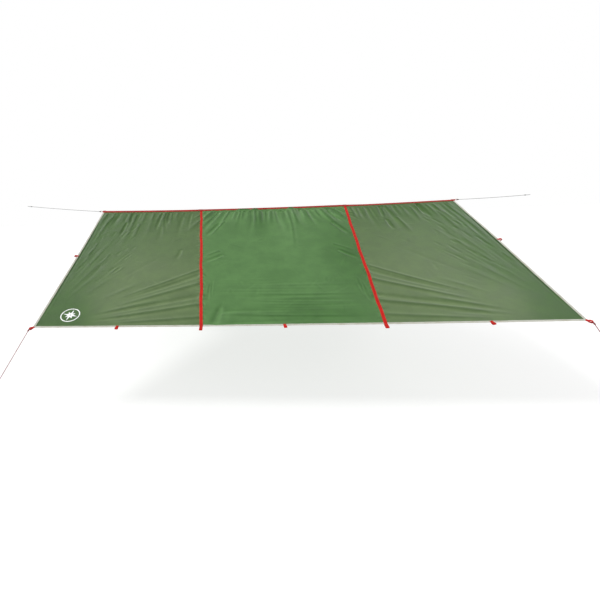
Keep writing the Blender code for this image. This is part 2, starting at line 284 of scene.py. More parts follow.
# The deepest creases that drop from the ridge: x and s of both ends, height and width.
DEEP_CREASES = (
    (-1.245, 0.03, -1.235, 0.34, -0.006, 0.013), (-1.225, 0.05, -1.215, 0.3, 0.0038, 0.014),
    (-1.335, 0.06, -1.365, 0.5, -0.004, 0.014), (-1.3, 0.2, -1.265, 0.6, 0.0032, 0.015),
    (-1.705, 0.04, -1.7, 0.32, -0.0058, 0.014), (-1.68, 0.04, -1.665, 0.26, 0.0034, 0.014),
    (-1.745, 0.26, -1.78, 0.62, -0.004, 0.014), (-1.58, 0.28, -1.62, 0.7, 0.0032, 0.017),
    (-1.95, 0.12, -2.045, 0.78, 0.0032, 0.016), (-1.02, 0.88, -1.06, 1.1, -0.0022, 0.018),
    (1.25, 0.05, 1.23, 0.36, -0.006, 0.014), (1.275, 0.08, 1.262, 0.3, 0.0036, 0.014),
    (1.245, 0.36, 1.262, 0.62, -0.0048, 0.013), (1.365, 0.3, 1.425, 0.72, 0.0036, 0.016),
    (1.675, 0.03, 1.69, 0.34, -0.006, 0.013), (1.65, 0.05, 1.65, 0.3, 0.0034, 0.013),
    (1.59, 0.08, 1.595, 0.5, 0.0032, 0.016), (1.83, 0.2, 1.915, 0.78, 0.003, 0.016),
    (2.0, 0.2, 2.05, 1.15, -0.0014, 0.018), (1.0, 0.05, 0.985, 0.4, 0.0026, 0.018),
    (-0.66, 0.04, -0.82, 0.33, -0.0062, 0.015), (-0.715, 0.04, -0.83, 0.24, 0.004, 0.013),
    (-0.62, 0.34, -0.775, 0.66, -0.0052, 0.016), (-0.56, 0.28, -0.7, 0.56, 0.0036, 0.016),
    (-0.505, 0.04, -0.61, 0.36, 0.0042, 0.015), (0.66, 0.06, 0.79, 0.44, -0.0056, 0.015),
    (0.73, 0.05, 0.815, 0.3, 0.004, 0.013), (0.64, 0.38, 0.785, 0.7, -0.0052, 0.015),
    (0.5, 0.06, 0.575, 0.36, 0.004, 0.016), (-0.56, 1.0, -0.79, 1.17, -0.003, 0.016),
    (-0.6, 0.92, -0.79, 1.06, 0.0024, 0.016), (0.59, 0.96, 0.79, 1.17, -0.003, 0.016),
    (0.56, 0.84, 0.78, 1.02, 0.0022, 0.016), (0.2, 0.03, 0.17, 1.0, 0.0032, 0.015),
)
# The bunched cloth beside the ridge: x and height.
BUNCHES = ((-0.39, 0.007), (-0.33, 0.010), (-0.26, 0.011), (-0.20, 0.009), (0.23, 0.008))


def add_gathers(relief, rng, x, stop, spread, lengths, lean, heights, widths):
    """Short folds that hang from the ridge, where the cloth is gathered into its seam."""
    flip = 1.0
    while x < stop:
        length = rng.uniform(*lengths)
        start = (x, 0.03 + rng.uniform(0.0, 0.03))
        end = (x + lean(x) * length, start[1] + length)
        height = flip * rng.uniform(*heights)
        width = rng.uniform(*widths)
        points = bowed(start, end, rng.uniform(-0.03, 0.03))
        relief.fold(points, width, height, rng.uniform(-0.5, 0.5), 0.8, 0.06, 0.75)
        flip = -flip if rng.random() < 0.75 else flip
        x += rng.uniform(*spread)


def add_side_folds(relief, rng, sign):
    corner = np.array([sign * half_width(1.0), SLOPE_LENGTH])
    narrowing = (SEAM_AT_RIDGE - SEAM_AT_EAVE) / SLOPE_LENGTH
    for degrees, near, far, height, width in CORNER_RAYS:
        a = math.radians(degrees + rng.uniform(-0.9, 0.9))
        way = np.array([-sign * math.cos(a), -math.sin(a)])
        slip = rng.uniform(-0.06, 0.06)
        if far is None:
            to_seam = (0.5 * EAVE_LENGTH - SEAM_AT_EAVE) / (math.cos(a) + narrowing * math.sin(a))
            far, fade = to_seam + UNDER_STRAP, 0.025
        else:
            far, fade = far + slip, 0.5
        height *= RAY_DEPTH * (1.0 - 0.65 * smooth(32.0, 50.0, degrees))
        points = bowed(corner + way * near, corner + way * far, rng.uniform(-0.012, 0.012))
        relief.fold(points, width * 0.85, height, rng.uniform(-0.6, 0.6), 0.8, 0.6, fade)

    def lean(x):
        return sign * (0.02 + 0.14 * (abs(x) / half_width(0.0)) ** 3)

    low, high = SEAM_AT_RIDGE + 0.05, half_width(0.0) - 0.07
    ends = (low, high) if sign > 0 else (-high, -low)
    for spread, lengths, heights, widths in (
        ((0.045, 0.100), (0.20, 0.62), (0.0025, 0.0050), (0.011, 0.018)),
        ((0.120, 0.240), (0.45, 0.95), (0.0030, 0.0060), (0.016, 0.024)),
    ):
        add_gathers(relief, rng, *ends, spread, lengths, lean, heights, widths)
    for _ in range(38):
        s = rng.uniform(0.12, 1.25)
        x = sign * (half_width(s / SLOPE_LENGTH) - rng.uniform(0.08, 0.62))
        way = corner - np.array([x, s])
        way = way / np.hypot(*way)
        long = rng.uniform(0.10, 0.34)
        slip = rng.uniform(-0.10, 0.10)
        end = (x + (way[0] + slip) * long, s + way[1] * long)
        height = rng.choice([-1.0, -1.0, 1.0]) * rng.uniform(0.0012, 0.0030)
        points = bowed((x, s), end, rng.uniform(-0.04, 0.04), 4)
        relief.fold(points, 0.012, height, 0.0, 0.3, 0.3, 0.5)


def add_middle_folds(relief, rng):
    def lean(x):
        return math.copysign(0.05 + 0.75 * min(abs(x) / 0.80, 1.0) ** 3, x)

    for end, spread, lengths, heights, widths in (
        (0.80, (0.030, 0.060), (0.18, 0.48), (0.0040, 0.0080), (0.010, 0.016)),
        (0.72, (0.070, 0.150), (0.30, 0.70), (0.0065, 0.0115), (0.018, 0.028)),
    ):
        add_gathers(relief, rng, -end, end, spread, lengths, lean, heights, widths)
    s = 1.42
    while s < 2.07:
        centre, half = rng.uniform(-0.45, 0.45), rng.uniform(0.25, 0.62)
        slope = rng.uniform(-0.02, 0.02)
        start, end = (max(centre - half, -0.73), s - slope), (min(centre + half, 0.73), s + slope)
        points = bowed(start, end, rng.uniform(-0.01, 0.01))
        height = rng.choice([-1.0, 1.0]) * rng.uniform(0.0012, 0.0036) * smooth(1.35, 1.75, s)
        relief.fold(points, rng.uniform(0.011, 0.018), height, 0.3, 0.2, 0.35, 0.35)
        s += rng.uniform(0.020, 0.050)
    for sign in (-1.0, 1.0):
        for k in range(4):
            x = sign * (0.705 - 0.012 * k)
            s = rng.uniform(1.42, 1.56)
            end = (x + sign * 0.004, s + rng.uniform(0.16, 0.32))
            points = bowed((x - sign * 0.01, s), end, 0.02)
            relief.fold(points, 0.007, 0.0017 * (-1.0) ** k, 0.0, 0.2, 0.3, 0.4)


def add_crumple(relief, rng, count):
    """Small creases left from when the sheet was packed."""
    for _ in range(count):
        x, s = rng.uniform(-2.10, 2.10), rng.uniform(0.08, 2.00)
        a, length = rng.uniform(0.0, math.pi), rng.uniform(0.07, 0.26)
        end = (x + length * math.cos(a), s + length * math.sin(a))
        height = rng.choice([-1.0, 1.0]) * rng.uniform(0.0003, 0.0009)
        relief.fold(bowed((x, s), end, rng.uniform(-0.1, 0.1), 4), 0.013, height)


def add_seam_puckers(relief, rng):
    """Little folds square to each strap, drawn up by its stitching."""
    for sign, side in ((-1.0, -1.0), (-1.0, 1.0), (1.0, -1.0), (1.0, 1.0)):
        s = 0.12
        while s < 2.02:
            x = sign * seam(s / SLOPE_LENGTH) + side * 0.010
            end = (x + side * rng.uniform(0.035, 0.080), s + rng.uniform(-0.02, 0.02))
            height = rng.choice([-1.0, 1.0]) * rng.uniform(0.0006, 0.0016)
            relief.fold(bowed((x, s), end, 0.0, 3), 0.010, height, 0, 0.5, 0.05, 0.8)
            s += rng.uniform(0.030, 0.070)


def make_relief(front):
    relief = Relief()
    rng = np.random.default_rng(31 if front else 57)
    turn = 1.0 if front else -1.0
    for x0, s0, x1, s1, height, width in DEEP_CREASES:
        points = bowed((turn * x0, s0), (turn * x1, s1), rng.uniform(-0.02, 0.02))
        height *= 2.1 if height < 0.0 else 1.3
        relief.fold(points, width * 0.95, height, 0.4, 0.6, 0.12, 0.55)
    for sign in (-1.0, 1.0):
        add_side_folds(relief, rng, sign)
    add_middle_folds(relief, rng)
    add_crumple(relief, rng, 150)
    add_seam_puckers(relief, rng)
    # The dent over the left strap's foot, and the wider hollow beside it.
    for x0, s0, x1, width, height, skew, grow in (
        (0.575, 1.80, 0.645, 0.026, -0.0085, -0.9, 0.5),
        (0.530, 1.84, 0.595, 0.050, -0.0060, 0.0, 0.3),
    ):
        points = [(-turn * x0, s0), (-turn * x1, 2.09)]
        relief.fold(points, width, height, skew, grow, 0.4, 0.05)
    for x, height in BUNCHES:
        relief.fold([(x, 0.022), (x + 0.004, 0.10)], 0.015, height, 0.0, 0.6, 0.02, 0.8)
    return relief


RELIEF = {True: make_relief(True), False: make_relief(False)}


# ---- mesh tools ----
def linked(name, data):
    """A new object in the scene."""
    made = bpy.data.objects.new(name, data)
    bpy.context.scene.collection.objects.link(made)
    return made


def stands_for(piece, node, body=None):
    """The piece takes the place of a CAD node, which is hidden, and, where one is given, joins its
    body.
    """
    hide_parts(node)
    if body:
        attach(piece, body)


def mesh_piece(name, verts, faces, uv, material, sharp=60.0):
    """One mesh from arrays: verts (n, 3), faces (m, k), uv (n, 2)."""
    verts = np.asarray(verts, np.float32)
    faces = np.asarray(faces, np.int32)
    tri = verts[faces[:, :3]].astype(float)
    volume = np.einsum("ij,ij->", tri[:, 0], np.cross(tri[:, 1], tri[:, 2]))
    if faces.shape[1] == 4:
        other = verts[faces[:, [0, 2, 3]]].astype(float)
        volume += np.einsum("ij,ij->", other[:, 0], np.cross(other[:, 1], other[:, 2]))
    if volume < 0.0:
        faces = faces[:, ::-1]
    mesh = bpy.data.meshes.new(name)
    mesh.vertices.add(len(verts))
    mesh.vertices.foreach_set("co", verts.ravel())
    mesh.loops.add(faces.size)
    mesh.loops.foreach_set("vertex_index", np.ascontiguousarray(faces).ravel())
    mesh.polygons.add(len(faces))
    starts = np.arange(0, faces.size, faces.shape[1], dtype=np.int32)
    mesh.polygons.foreach_set("loop_start", starts)
    mesh.update(calc_edges=True)
    if uv is not None:
        layer = mesh.uv_layers.new(name="cloth")
        layer.data.foreach_set("uv", np.asarray(uv, np.float32)[faces.ravel()].ravel())
    mesh.shade_smooth()
    mesh.set_sharp_from_angle(angle=math.radians(sharp))
    mesh.materials.append(material)
    return linked(name, mesh)


def grid_faces(rows, columns, wrap_rows=False, wrap_columns=False):
    i = np.arange(rows if wrap_rows else rows - 1)[:, None]
    j = np.arange(columns if wrap_columns else columns - 1)[None, :]
    k = (i + 1) % rows
    m = (j + 1) % columns
    quads = [i * columns + j, i * columns + m, k * columns + m, k * columns + j]
    return np.stack(quads, axis=-1).reshape(-1, 4)


def unit(vectors):
    return vectors / np.maximum(np.linalg.norm(vectors, axis=-1, keepdims=True), 1e-12)


def grid_normals(grid):
    return unit(np.cross(np.gradient(grid, axis=1), np.gradient(grid, axis=0)))


PAINTED_CREASE_BEND = 22.0  # the bend, in 1/m, that counts as a deep crease for the painted crease shade


def painted_crease_shade(x, s, up):
    """How sharply the cloth bends at each place, for painted shade and highlight: 1 in a deep
    crease, -1 on a sharp crest.
    """
    down = np.gradient(np.gradient(up, s[:, 0], axis=0), s[:, 0], axis=0)
    step = (x[:, -1:] - x[:, :1]) / (x.shape[1] - 1)
    across = np.gradient(np.gradient(up, axis=1), axis=1) / step**2
    return np.clip((down + across) / PAINTED_CREASE_BEND, -1.0, 1.0)


def sheet_piece(name, grid, thick, material, uv):
    """Closed cloth of even thickness about a grid of points (rows, columns, 3)."""
    rows, columns = grid.shape[:2]
    lift = grid_normals(grid) * (0.5 * thick)
    verts = np.concatenate([(grid + lift).reshape(-1, 3), (grid - lift).reshape(-1, 3)])
    top = grid_faces(rows, columns)
    layer = rows * columns
    edge = np.concatenate([
        np.arange(columns),
        np.arange(1, rows) * columns + columns - 1,
        (rows - 1) * columns + np.arange(columns - 2, -1, -1),
        np.arange(rows - 2, 0, -1) * columns,
    ])
    after = np.roll(edge, -1)
    rim = np.stack([after, edge, edge + layer, after + layer], axis=-1)
    faces = np.concatenate([top, top[:, [0, 3, 2, 1]] + layer, rim])
    flat = np.asarray(uv, float).reshape(-1, 2)
    return mesh_piece(name, verts, faces, np.concatenate([flat, flat]), material)


def steps_of(points):
    """Distance along a line of points."""
    gaps = np.linalg.norm(np.diff(points, axis=0), axis=1)
    return np.concatenate([[0.0], np.cumsum(gaps)])


def read_at(points, along, at):
    """The places on a line of points at these distances along it."""
    return np.stack([np.interp(at, along, points[:, k]) for k in range(3)], axis=1)


def resample(points, step):
    points = np.asarray(points, float)
    along = steps_of(points)
    at = np.linspace(0.0, along[-1], max(2, int(round(along[-1] / step)) + 1))
    return read_at(points, along, at)


def band_piece(name, path, across, width, material, crown=0.0):
    """Webbing with rounded edges swept along path. crown folds its edges down off the middle."""
    across = np.array(across)
    normal = unit(np.cross(across, unit(np.gradient(path, axis=0))))
    r = 0.5 * LOOP_T
    half = 0.5 * width - r
    flat = np.linspace(-half, half, 7)
    section = []
    for end, places in ((1.0, flat), (-1.0, flat[::-1])):
        section += [(w, end * r) for w in places]
        for k in range(1, 5):
            a = math.pi * (0.5 * end - k / 5)
            section.append((end * half + r * math.cos(a), r * math.sin(a)))
    w, h = np.array(section).T
    drop = h - np.abs(w) * np.broadcast_to(crown, (len(path),))[:, None]
    verts = path[:, None] + across * w[:, None] + normal[:, None] * drop[..., None]
    return swept(name, verts, material, steps_of(path), w)


def swept(name, rings, material, along, around):
    """Closed mesh from rings of points (rings, sides, 3), with a fan at each end."""
    count, sides = rings.shape[:2]
    verts = np.concatenate([rings.reshape(-1, 3), rings[:1].mean(1), rings[-1:].mean(1)])
    body = grid_faces(count, sides, wrap_columns=True)
    first, last = count * sides, count * sides + 1
    j = np.arange(sides)
    m = (j + 1) % sides
    base = (count - 1) * sides
    start = np.stack([m, j, np.full(sides, first)], axis=-1)
    end = np.stack([base + j, base + m, np.full(sides, last)], axis=-1)
    tris = np.concatenate([body[:, [0, 1, 2]], body[:, [0, 2, 3]], start, end])
    u, v = np.tile(around, count), np.repeat(along, sides)
    uv = np.stack([np.append(u, [0, 0]), np.append(v, [along[0], along[-1]])], axis=-1)
    return mesh_piece(name, verts, tris, uv, material)


def ring_frames(points, closed=False):
    """Two unit vectors square to a line at each of its points, carried along without twist."""
    if closed:
        tangent = np.roll(points, -1, axis=0) - np.roll(points, 1, axis=0)
    else:
        tangent = np.gradient(points, axis=0)
    tangent = unit(tangent)
    start = (0.0, 0.0, 1.0) if abs(tangent[0][2]) < 0.9 else (1.0, 0.0, 0.0)
    first = [unit(np.cross(tangent[0], start))]
    for way in tangent[1:]:
        first.append(unit(first[-1] - way * (first[-1] @ way)))
    first = np.array(first)
    return first, np.cross(tangent, first)


def whole_turn(sides):
    return np.linspace(0.0, 2.0 * math.pi, sides, endpoint=False)


def rings_round(points, r, turn, closed=False):
    """Rings of points round a line, of radius r: (rings, sides), (rings, 1) or one number."""
    a, b = ring_frames(points, closed)
    cos, sin = np.cos(turn)[:, None], np.sin(turn)[:, None]
    r = np.broadcast_to(r, (len(points), len(turn)))[..., None]
    return points[:, None] + r * (a[:, None] * cos + b[:, None] * sin)


BRAID_PITCH = 0.011


def braid(name, points, diameter, material, step=0.0013, sides=16):
    """Braided cord: a tube whose surface rises and falls where its strands cross."""
    points = resample(points, step)
    along, turn = steps_of(points), whole_turn(sides)
    wave = 2.0 * math.pi * along[:, None] / BRAID_PITCH
    strands = np.sin(4.0 * turn + wave) * np.sin(4.0 * turn - wave)
    rings = rings_round(points, 0.5 * diameter * (0.97 + 0.06 * strands), turn)
    return swept(name, rings, material, along, turn / (2.0 * math.pi))


def join(name, pieces):
    """One mesh from several that share their materials."""
    bpy.ops.object.select_all(action="DESELECT")
    for p in pieces:
        p.select_set(True)
    bpy.context.view_layer.objects.active = pieces[0]
    bpy.ops.object.join()
    pieces[0].name = name
    return pieces[0]


def smooth_route(knots, per_span):
    """Points on a Catmull-Rom curve through the knots, as tuples."""
    pts = [Vector(k) for k in knots]
    ends = [2.0 * pts[0] - pts[1]] + pts + [2.0 * pts[-1] - pts[-2]]
    out = []
    for i in range(len(pts) - 1):
        p0, p1, p2, p3 = ends[i : i + 4]
        t01 = max((p1 - p0).length, 1e-6) ** 0.5
        t12 = max((p2 - p1).length, 1e-6) ** 0.5
        t23 = max((p3 - p2).length, 1e-6) ** 0.5
        m1 = (p2 - p1) + t12 * ((p1 - p0) / t01 - (p2 - p0) / (t01 + t12))
        m2 = (p2 - p1) + t12 * ((p3 - p2) / t23 - (p3 - p1) / (t12 + t23))
        for k in range(per_span[i]):
            t = k / per_span[i]
            h1 = 2 * t**3 - 3 * t**2 + 1
            h2 = t**3 - 2 * t**2 + t
            h3 = -2 * t**3 + 3 * t**2
            h4 = t**3 - t**2
            out.append(h1 * p1 + h2 * m1 + h3 * p2 + h4 * m2)
    return [tuple(p) for p in [*out, pts[-1]]]


# ---- materials ----
class Shader:
    """A material under construction: its nodes, its links and its Principled shader."""

    def __init__(self, name, rough, metallic=0.0, specular=0.5):
        self.material = bpy.data.materials.new(name)
        self.material.use_nodes = True
        self.tree = self.material.node_tree
        self.shader = self.tree.nodes["Principled BSDF"]
        self.set("Roughness", rough)
        self.set("Metallic", metallic)
        self.set("Specular IOR Level", specular)
        self.place = self.node("TexCoord").outputs

    def set(self, socket, value):
        self.shader.inputs[socket].default_value = value

    def feed(self, socket, value):
        if isinstance(value, bpy.types.NodeSocket):
            self.tree.links.new(value, socket)
        else:
            socket.default_value = value

    def node(self, kind, **inputs):
        made = self.tree.nodes.new("ShaderNode" + kind)
        for key, value in inputs.items():
            if key.islower() and hasattr(made, key):
                setattr(made, key, value)
            else:
                self.feed(made.inputs[key.replace("_", " ")], value)
        return made

    def on_piece(self):
        """The two lengths stored with the mesh: x and s on cloth, across and along a band."""
        return self.node("SeparateXYZ", Vector=self.place["UV"]).outputs[:2]

    def math(self, operation, a, b=0.0, c=0.0):
        made = self.node("Math", operation=operation)
        for socket, value in zip(made.inputs, (a, b, c)):
            self.feed(socket, value)
        return made.outputs[0]

    def times(self, a, b):
        return self.math("MULTIPLY", a, b)

    def distance(self, a, b):
        return self.math("SQRT", self.math("MULTIPLY_ADD", a, a, self.times(b, b)))

    def range(self, value, low, high, to_low=0.0, to_high=1.0):
        made = self.node(
            "MapRange", Value=value, From_Min=low, From_Max=high, To_Min=to_low, To_Max=to_high
        )
        made.interpolation_type = "SMOOTHSTEP"
        return made.outputs[0]

    def mix(self, share, a, b, blend="MIX"):
        made = self.node("Mix", data_type="RGBA", blend_type=blend)
        for index, value in ((0, share), (6, a), (7, b)):
            if isinstance(value, tuple) and len(value) == 3:
                value = (*value, 1.0)
            self.feed(made.inputs[index], value)
        return made.outputs[2]

    def tint(self, a, b):
        return self.mix(1.0, a, b, "MULTIPLY")

    def noise(self, scale, detail=3.0, rough=0.5, where=None):
        made = self.node("TexNoise", Vector=where or self.place["Object"])
        for key, value in (("Scale", scale), ("Detail", detail), ("Roughness", rough)):
            made.inputs[key].default_value = value
        return made.outputs["Fac"]

    def rib(self, value, pitch, sharpness=1.0):
        """A wave from 0 to 1 along a length, once every pitch."""
        wave = self.math("SINE", self.times(value, 2.0 * math.pi / pitch))
        return self.math("POWER", self.math("MULTIPLY_ADD", wave, 0.5, 0.5), sharpness)

    def bump(self, height, distance, strength=1.0):
        made = self.node("Bump", Height=height, Distance=distance, Strength=strength)
        self.feed(self.shader.inputs["Normal"], made.outputs[0])

    def colour(self, value):
        self.feed(self.shader.inputs["Base Color"], value)

    def rough(self, by, low, high, to_low, to_high):
        self.feed(self.shader.inputs["Roughness"], self.range(by, low, high, to_low, to_high))

    def sheen(self, weight, rough=None, tint=None):
        self.set("Sheen Weight", weight)
        if tint:
            self.set("Sheen Roughness", rough)
            self.set("Sheen Tint", (*tint, 1.0))


TAFFETA_PITCH = 0.0012
GRID_PITCH = 0.0065
# Painted light on the cloth: a lighter tint on crests (painted highlight), a darker one in creases
# (painted shade), and a darker one beside the side hems (painted shade).
CREST_PAINTED_HIGHLIGHT = (1.06, 1.05, 1.06)
CREASE_PAINTED_SHADE = (0.60, 0.68, 0.58)
HEM_PAINTED_SHADE = (0.50, 0.58, 0.48)


def cloth_material(name, pale, deep, corner_painted_shade, painted_patches):
    """Coated nylon: fine weave, a faint ripstop grid, satin sheen, painted sheen (paler green) and
    painted shade (deeper green near the edges and corners).
    """
    sh = Shader(name, 0.46, specular=0.15)
    x, s = sh.on_piece()
    weave = sh.times(sh.rib(x, TAFFETA_PITCH), sh.rib(s, TAFFETA_PITCH))
    grid = sh.math("MAXIMUM", sh.rib(x, GRID_PITCH, 24.0), sh.rib(s, GRID_PITCH, 24.0))

    # Painted sheen and shade: the mix runs from pale green (painted sheen) to deep green (painted
    # shade). It is deeper towards the side edges and corners and in the patches that add to it, and
    # paler in those that take from it.
    away = sh.math("ABSOLUTE", x)
    from_side = sh.math("SUBTRACT", EAVE_LENGTH / 2.0, away)
    from_corner = sh.distance(from_side, sh.math("SUBTRACT", SLOPE_LENGTH, s))
    corner = sh.range(from_corner, 0.05, 0.66, corner_painted_shade, 0.0)
    edge = sh.range(from_side, 0.05, 0.80, 0.60 * corner_painted_shade, 0.0)
    painted_shade = sh.math("MINIMUM", sh.math("ADD", corner, edge), 1.0)
    broad = sh.noise(1.1, 2.0)
    soft = sh.noise(7.0, 4.0, 0.6)
    painted_shade = sh.math("ADD", painted_shade, sh.math("MULTIPLY_ADD", broad, 0.5, -0.25))
    for at_x, at_s, wide, long, depth in painted_patches:
        dx = sh.math("DIVIDE", sh.math("SUBTRACT", x, at_x), wide)
        ds = sh.math("DIVIDE", sh.math("SUBTRACT", s, at_s), long)
        painted_shade = sh.math("ADD", painted_shade, sh.range(sh.distance(dx, ds), 0.0, 1.0, depth, 0.0))
    base = sh.mix(sh.range(painted_shade, -0.6, 1.0), pale, deep)
    base = sh.tint(base, sh.mix(sh.range(soft, 0.30, 0.72), (0.90, 0.90, 0.90), (1.08, 1.07, 1.06)))
    base = sh.mix(0.6, base, sh.tint(base, sh.mix(weave, (0.93, 0.93, 0.93), (1.05, 1.05, 1.05))))
    # Painted shade in creases and painted highlight on crests, from the per-vertex bend stored with
    # the cloth.
    crease = sh.node("Attribute", attribute_name="hollow").outputs["Fac"]
    bend = sh.range(crease, -1.0, 1.0)
    base = sh.mix(bend, sh.tint(base, CREST_PAINTED_HIGHLIGHT), sh.tint(base, CREASE_PAINTED_SHADE))

    # Painted shade: a narrow darker band on the cloth just inside each side hem, strongest halfway
    # down the slope.
    flare = 0.5 * (EAVE_LENGTH - RIDGE_LENGTH) / SLOPE_LENGTH
    half = sh.math("MULTIPLY_ADD", s, flare, 0.5 * RIDGE_LENGTH)
    hem_shade_band = sh.range(sh.math("SUBTRACT", half, away), 0.028, 0.052, 1.0, 0.0)
    hem_shade_taper = sh.range(sh.math("PINGPONG", s, 0.5 * SLOPE_LENGTH), 0.08, 0.60, 0.25, 1.0)
    sh.colour(sh.mix(sh.times(hem_shade_band, hem_shade_taper), base, sh.tint(base, HEM_PAINTED_SHADE)))
    sh.rough(soft, 0.2, 0.8, 0.40, 0.54)
    sh.sheen(0.02, 0.45, (0.80, 0.88, 0.84))
    relief = sh.math("MULTIPLY_ADD", grid, 0.5, sh.times(weave, 0.5))
    sh.bump(sh.math("MULTIPLY_ADD", sh.noise(60.0), 1.5, relief), 0.00012, 0.8)
    return sh.material


def webbing_material(name, colour, dark):
    """Woven webbing: chevron ribs, fuzz and worn, slightly paler edges."""
    sh = Shader(name, 0.72, specular=0.18)
    across, along = sh.on_piece()
    ribs = sh.rib(sh.math("MULTIPLY_ADD", sh.math("PINGPONG", across, 0.0032), 0.9, along), 0.0021)
    fuzz = sh.noise(420.0, 2.0)
    weave = sh.math("MULTIPLY_ADD", ribs, 0.7, sh.times(sh.rib(across, 0.0011), 0.3))
    base = sh.mix(sh.range(weave, 0.05, 0.75), dark, colour)
    worn = sh.mix(0.35, colour, (0.62, 0.16, 0.12))
    rim = sh.range(sh.math("ABSOLUTE", across), 0.0100, 0.0126)
    base = sh.mix(sh.times(rim, 0.35), base, worn)
    tone = sh.mix(sh.range(sh.noise(9.0), 0.3, 0.7), (0.88, 0.88, 0.88), (1.07, 1.07, 1.07))
    sh.colour(sh.tint(base, tone))
    sh.rough(fuzz, 0.2, 0.8, 0.66, 0.82)
    sh.sheen(0.02, 0.5, (0.95, 0.35, 0.30))
    sh.bump(sh.math("MULTIPLY_ADD", fuzz, 0.4, weave), 0.00025, 0.9)
    return sh.material


def tape_material(name, colour, dark):
    """Light grosgrain binding: fine cross ribs and a little dirt."""
    sh = Shader(name, 0.78, specular=0.28)
    ribs = sh.rib(sh.on_piece()[1], 0.0012)
    dirt = sh.noise(14.0, 5.0, 0.65)
    stain = sh.mix(sh.range(dirt, 0.42, 0.75), (1.0, 1.0, 1.0), (0.80, 0.78, 0.70))
    sh.colour(sh.tint(sh.mix(sh.range(ribs, 0.0, 0.6), dark, colour), stain))
    sh.rough(dirt, 0.2, 0.8, 0.72, 0.86)
    sh.sheen(0.15)
    sh.bump(sh.math("MULTIPLY_ADD", sh.noise(500.0, 2.0), 0.4, ribs), 0.00015, 0.9)
    return sh.material


def cord_material(name, colour, fleck):
    """Braided cord: crossing strands, with a paler one running through."""
    sh = Shader(name, 0.66, specular=0.35)
    around, along = sh.on_piece()
    turn, run = sh.times(around, 4.0), sh.times(along, 1.0 / BRAID_PITCH)
    one, two = sh.rib(sh.math("ADD", turn, run), 1.0), sh.rib(sh.math("SUBTRACT", turn, run), 1.0)
    strands = sh.times(one, two)
    tracer = sh.range(sh.rib(sh.math("ADD", around, run), 1.0), 0.80, 0.92)
    grime = sh.noise(60.0)
    dark = tuple(0.45 * c for c in colour)
    base = sh.mix(sh.times(tracer, 0.6), sh.mix(sh.range(strands, 0.02, 0.5), dark, colour), fleck)
    tone = sh.mix(sh.range(grime, 0.3, 0.7), (0.86, 0.86, 0.86), (1.05, 1.05, 1.05))
    sh.colour(sh.tint(base, tone))
    sh.rough(grime, 0.2, 0.8, 0.58, 0.74)
    sh.sheen(0.05)
    sh.bump(strands, 0.0003, 0.8)
    return sh.material


def metal_material(name, colour, rough, scratch):
    """Metal with fine turning marks and small scuffs."""
    sh = Shader(name, rough, metallic=1.0)
    lengthways = sh.node("VectorMath", operation="MULTIPLY")
    sh.feed(lengthways.inputs[0], sh.place["Object"])
    lengthways.inputs[1].default_value = (900.0, 900.0, 60.0)
    marks = sh.noise(1.0, 2.0, where=lengthways.outputs[0])
    scuffs = sh.noise(130.0, 5.0, 0.7)
    worn = tuple(min(1.0, c * scratch) for c in colour)
    sh.colour(sh.mix(sh.range(scuffs, 0.52, 0.70), colour, worn))
    sh.rough(scuffs, 0.3, 0.7, rough - 0.06, rough + 0.14)
    sh.bump(sh.math("MULTIPLY_ADD", marks, 0.5, scuffs), 0.00006, 0.7)
    return sh.material


def thread_material(name, colour):
    sh = Shader(name, 0.6, specular=0.35)
    twist = sh.noise(900.0, 2.0)
    sh.colour(sh.mix(sh.range(twist, 0.3, 0.6), tuple(0.6 * c for c in colour), colour))
    sh.bump(twist, 0.0001, 0.6)
    return sh.material


def ink_material(name):
    """White screen print that lets a little of the weave through."""
    sh = Shader(name, 0.55, specular=0.35)
    patchy = sh.noise(240.0, 4.0, 0.7)
    sh.colour(sh.mix(sh.range(patchy, 0.30, 0.46), (0.62, 0.68, 0.60), (0.86, 0.87, 0.88)))
    sh.bump(patchy, 0.00006, 0.6)
    return sh.material


def floor_material(colour, glow):
    """A pale floor that glows a little, so that it shows as white as a studio sweep."""
    sh = Shader("studio_floor", 0.9, specular=0.1)
    sh.colour(sh.mix(sh.noise(0.4, 2.0), colour, tuple(1.02 * c for c in colour)))
    sh.set("Emission Color", (1.0, 1.0, 1.0, 1.0))
    sh.set("Emission Strength", glow)
    return sh.material


# Soft patches of painted shade (+, deeper green) or painted sheen (-, paler green): x, s, half
# width, half length, depth.
SIDE_PAINTED_PATCHES = (
    (-1.45, 0.0, 1.1, 1.0, 0.50), (1.45, 0.0, 1.1, 1.0, 0.55), (-1.20, 1.65, 0.80, 0.85, -0.80),
    (1.20, 1.65, 0.80, 0.85, -0.70), (1.84, 1.90, 0.42, 0.55, -0.75),
    (2.10, 0.50, 0.24, 0.80, 0.60), (-2.10, 0.70, 0.16, 0.70, 0.25),
)
MIDDLE_PAINTED_PATCHES = (
    (0.72, 1.10, 0.46, 1.30, 0.75), (-0.16, 0.30, 0.16, 0.50, 0.45), (0.10, 1.90, 0.60, 0.35, 0.35),
    (-0.45, 1.10, 0.45, 0.90, -0.05), (0.10, 0.60, 0.22, 0.80, -0.35),
    (0.42, 1.97, 0.55, 0.17, 0.35),
)
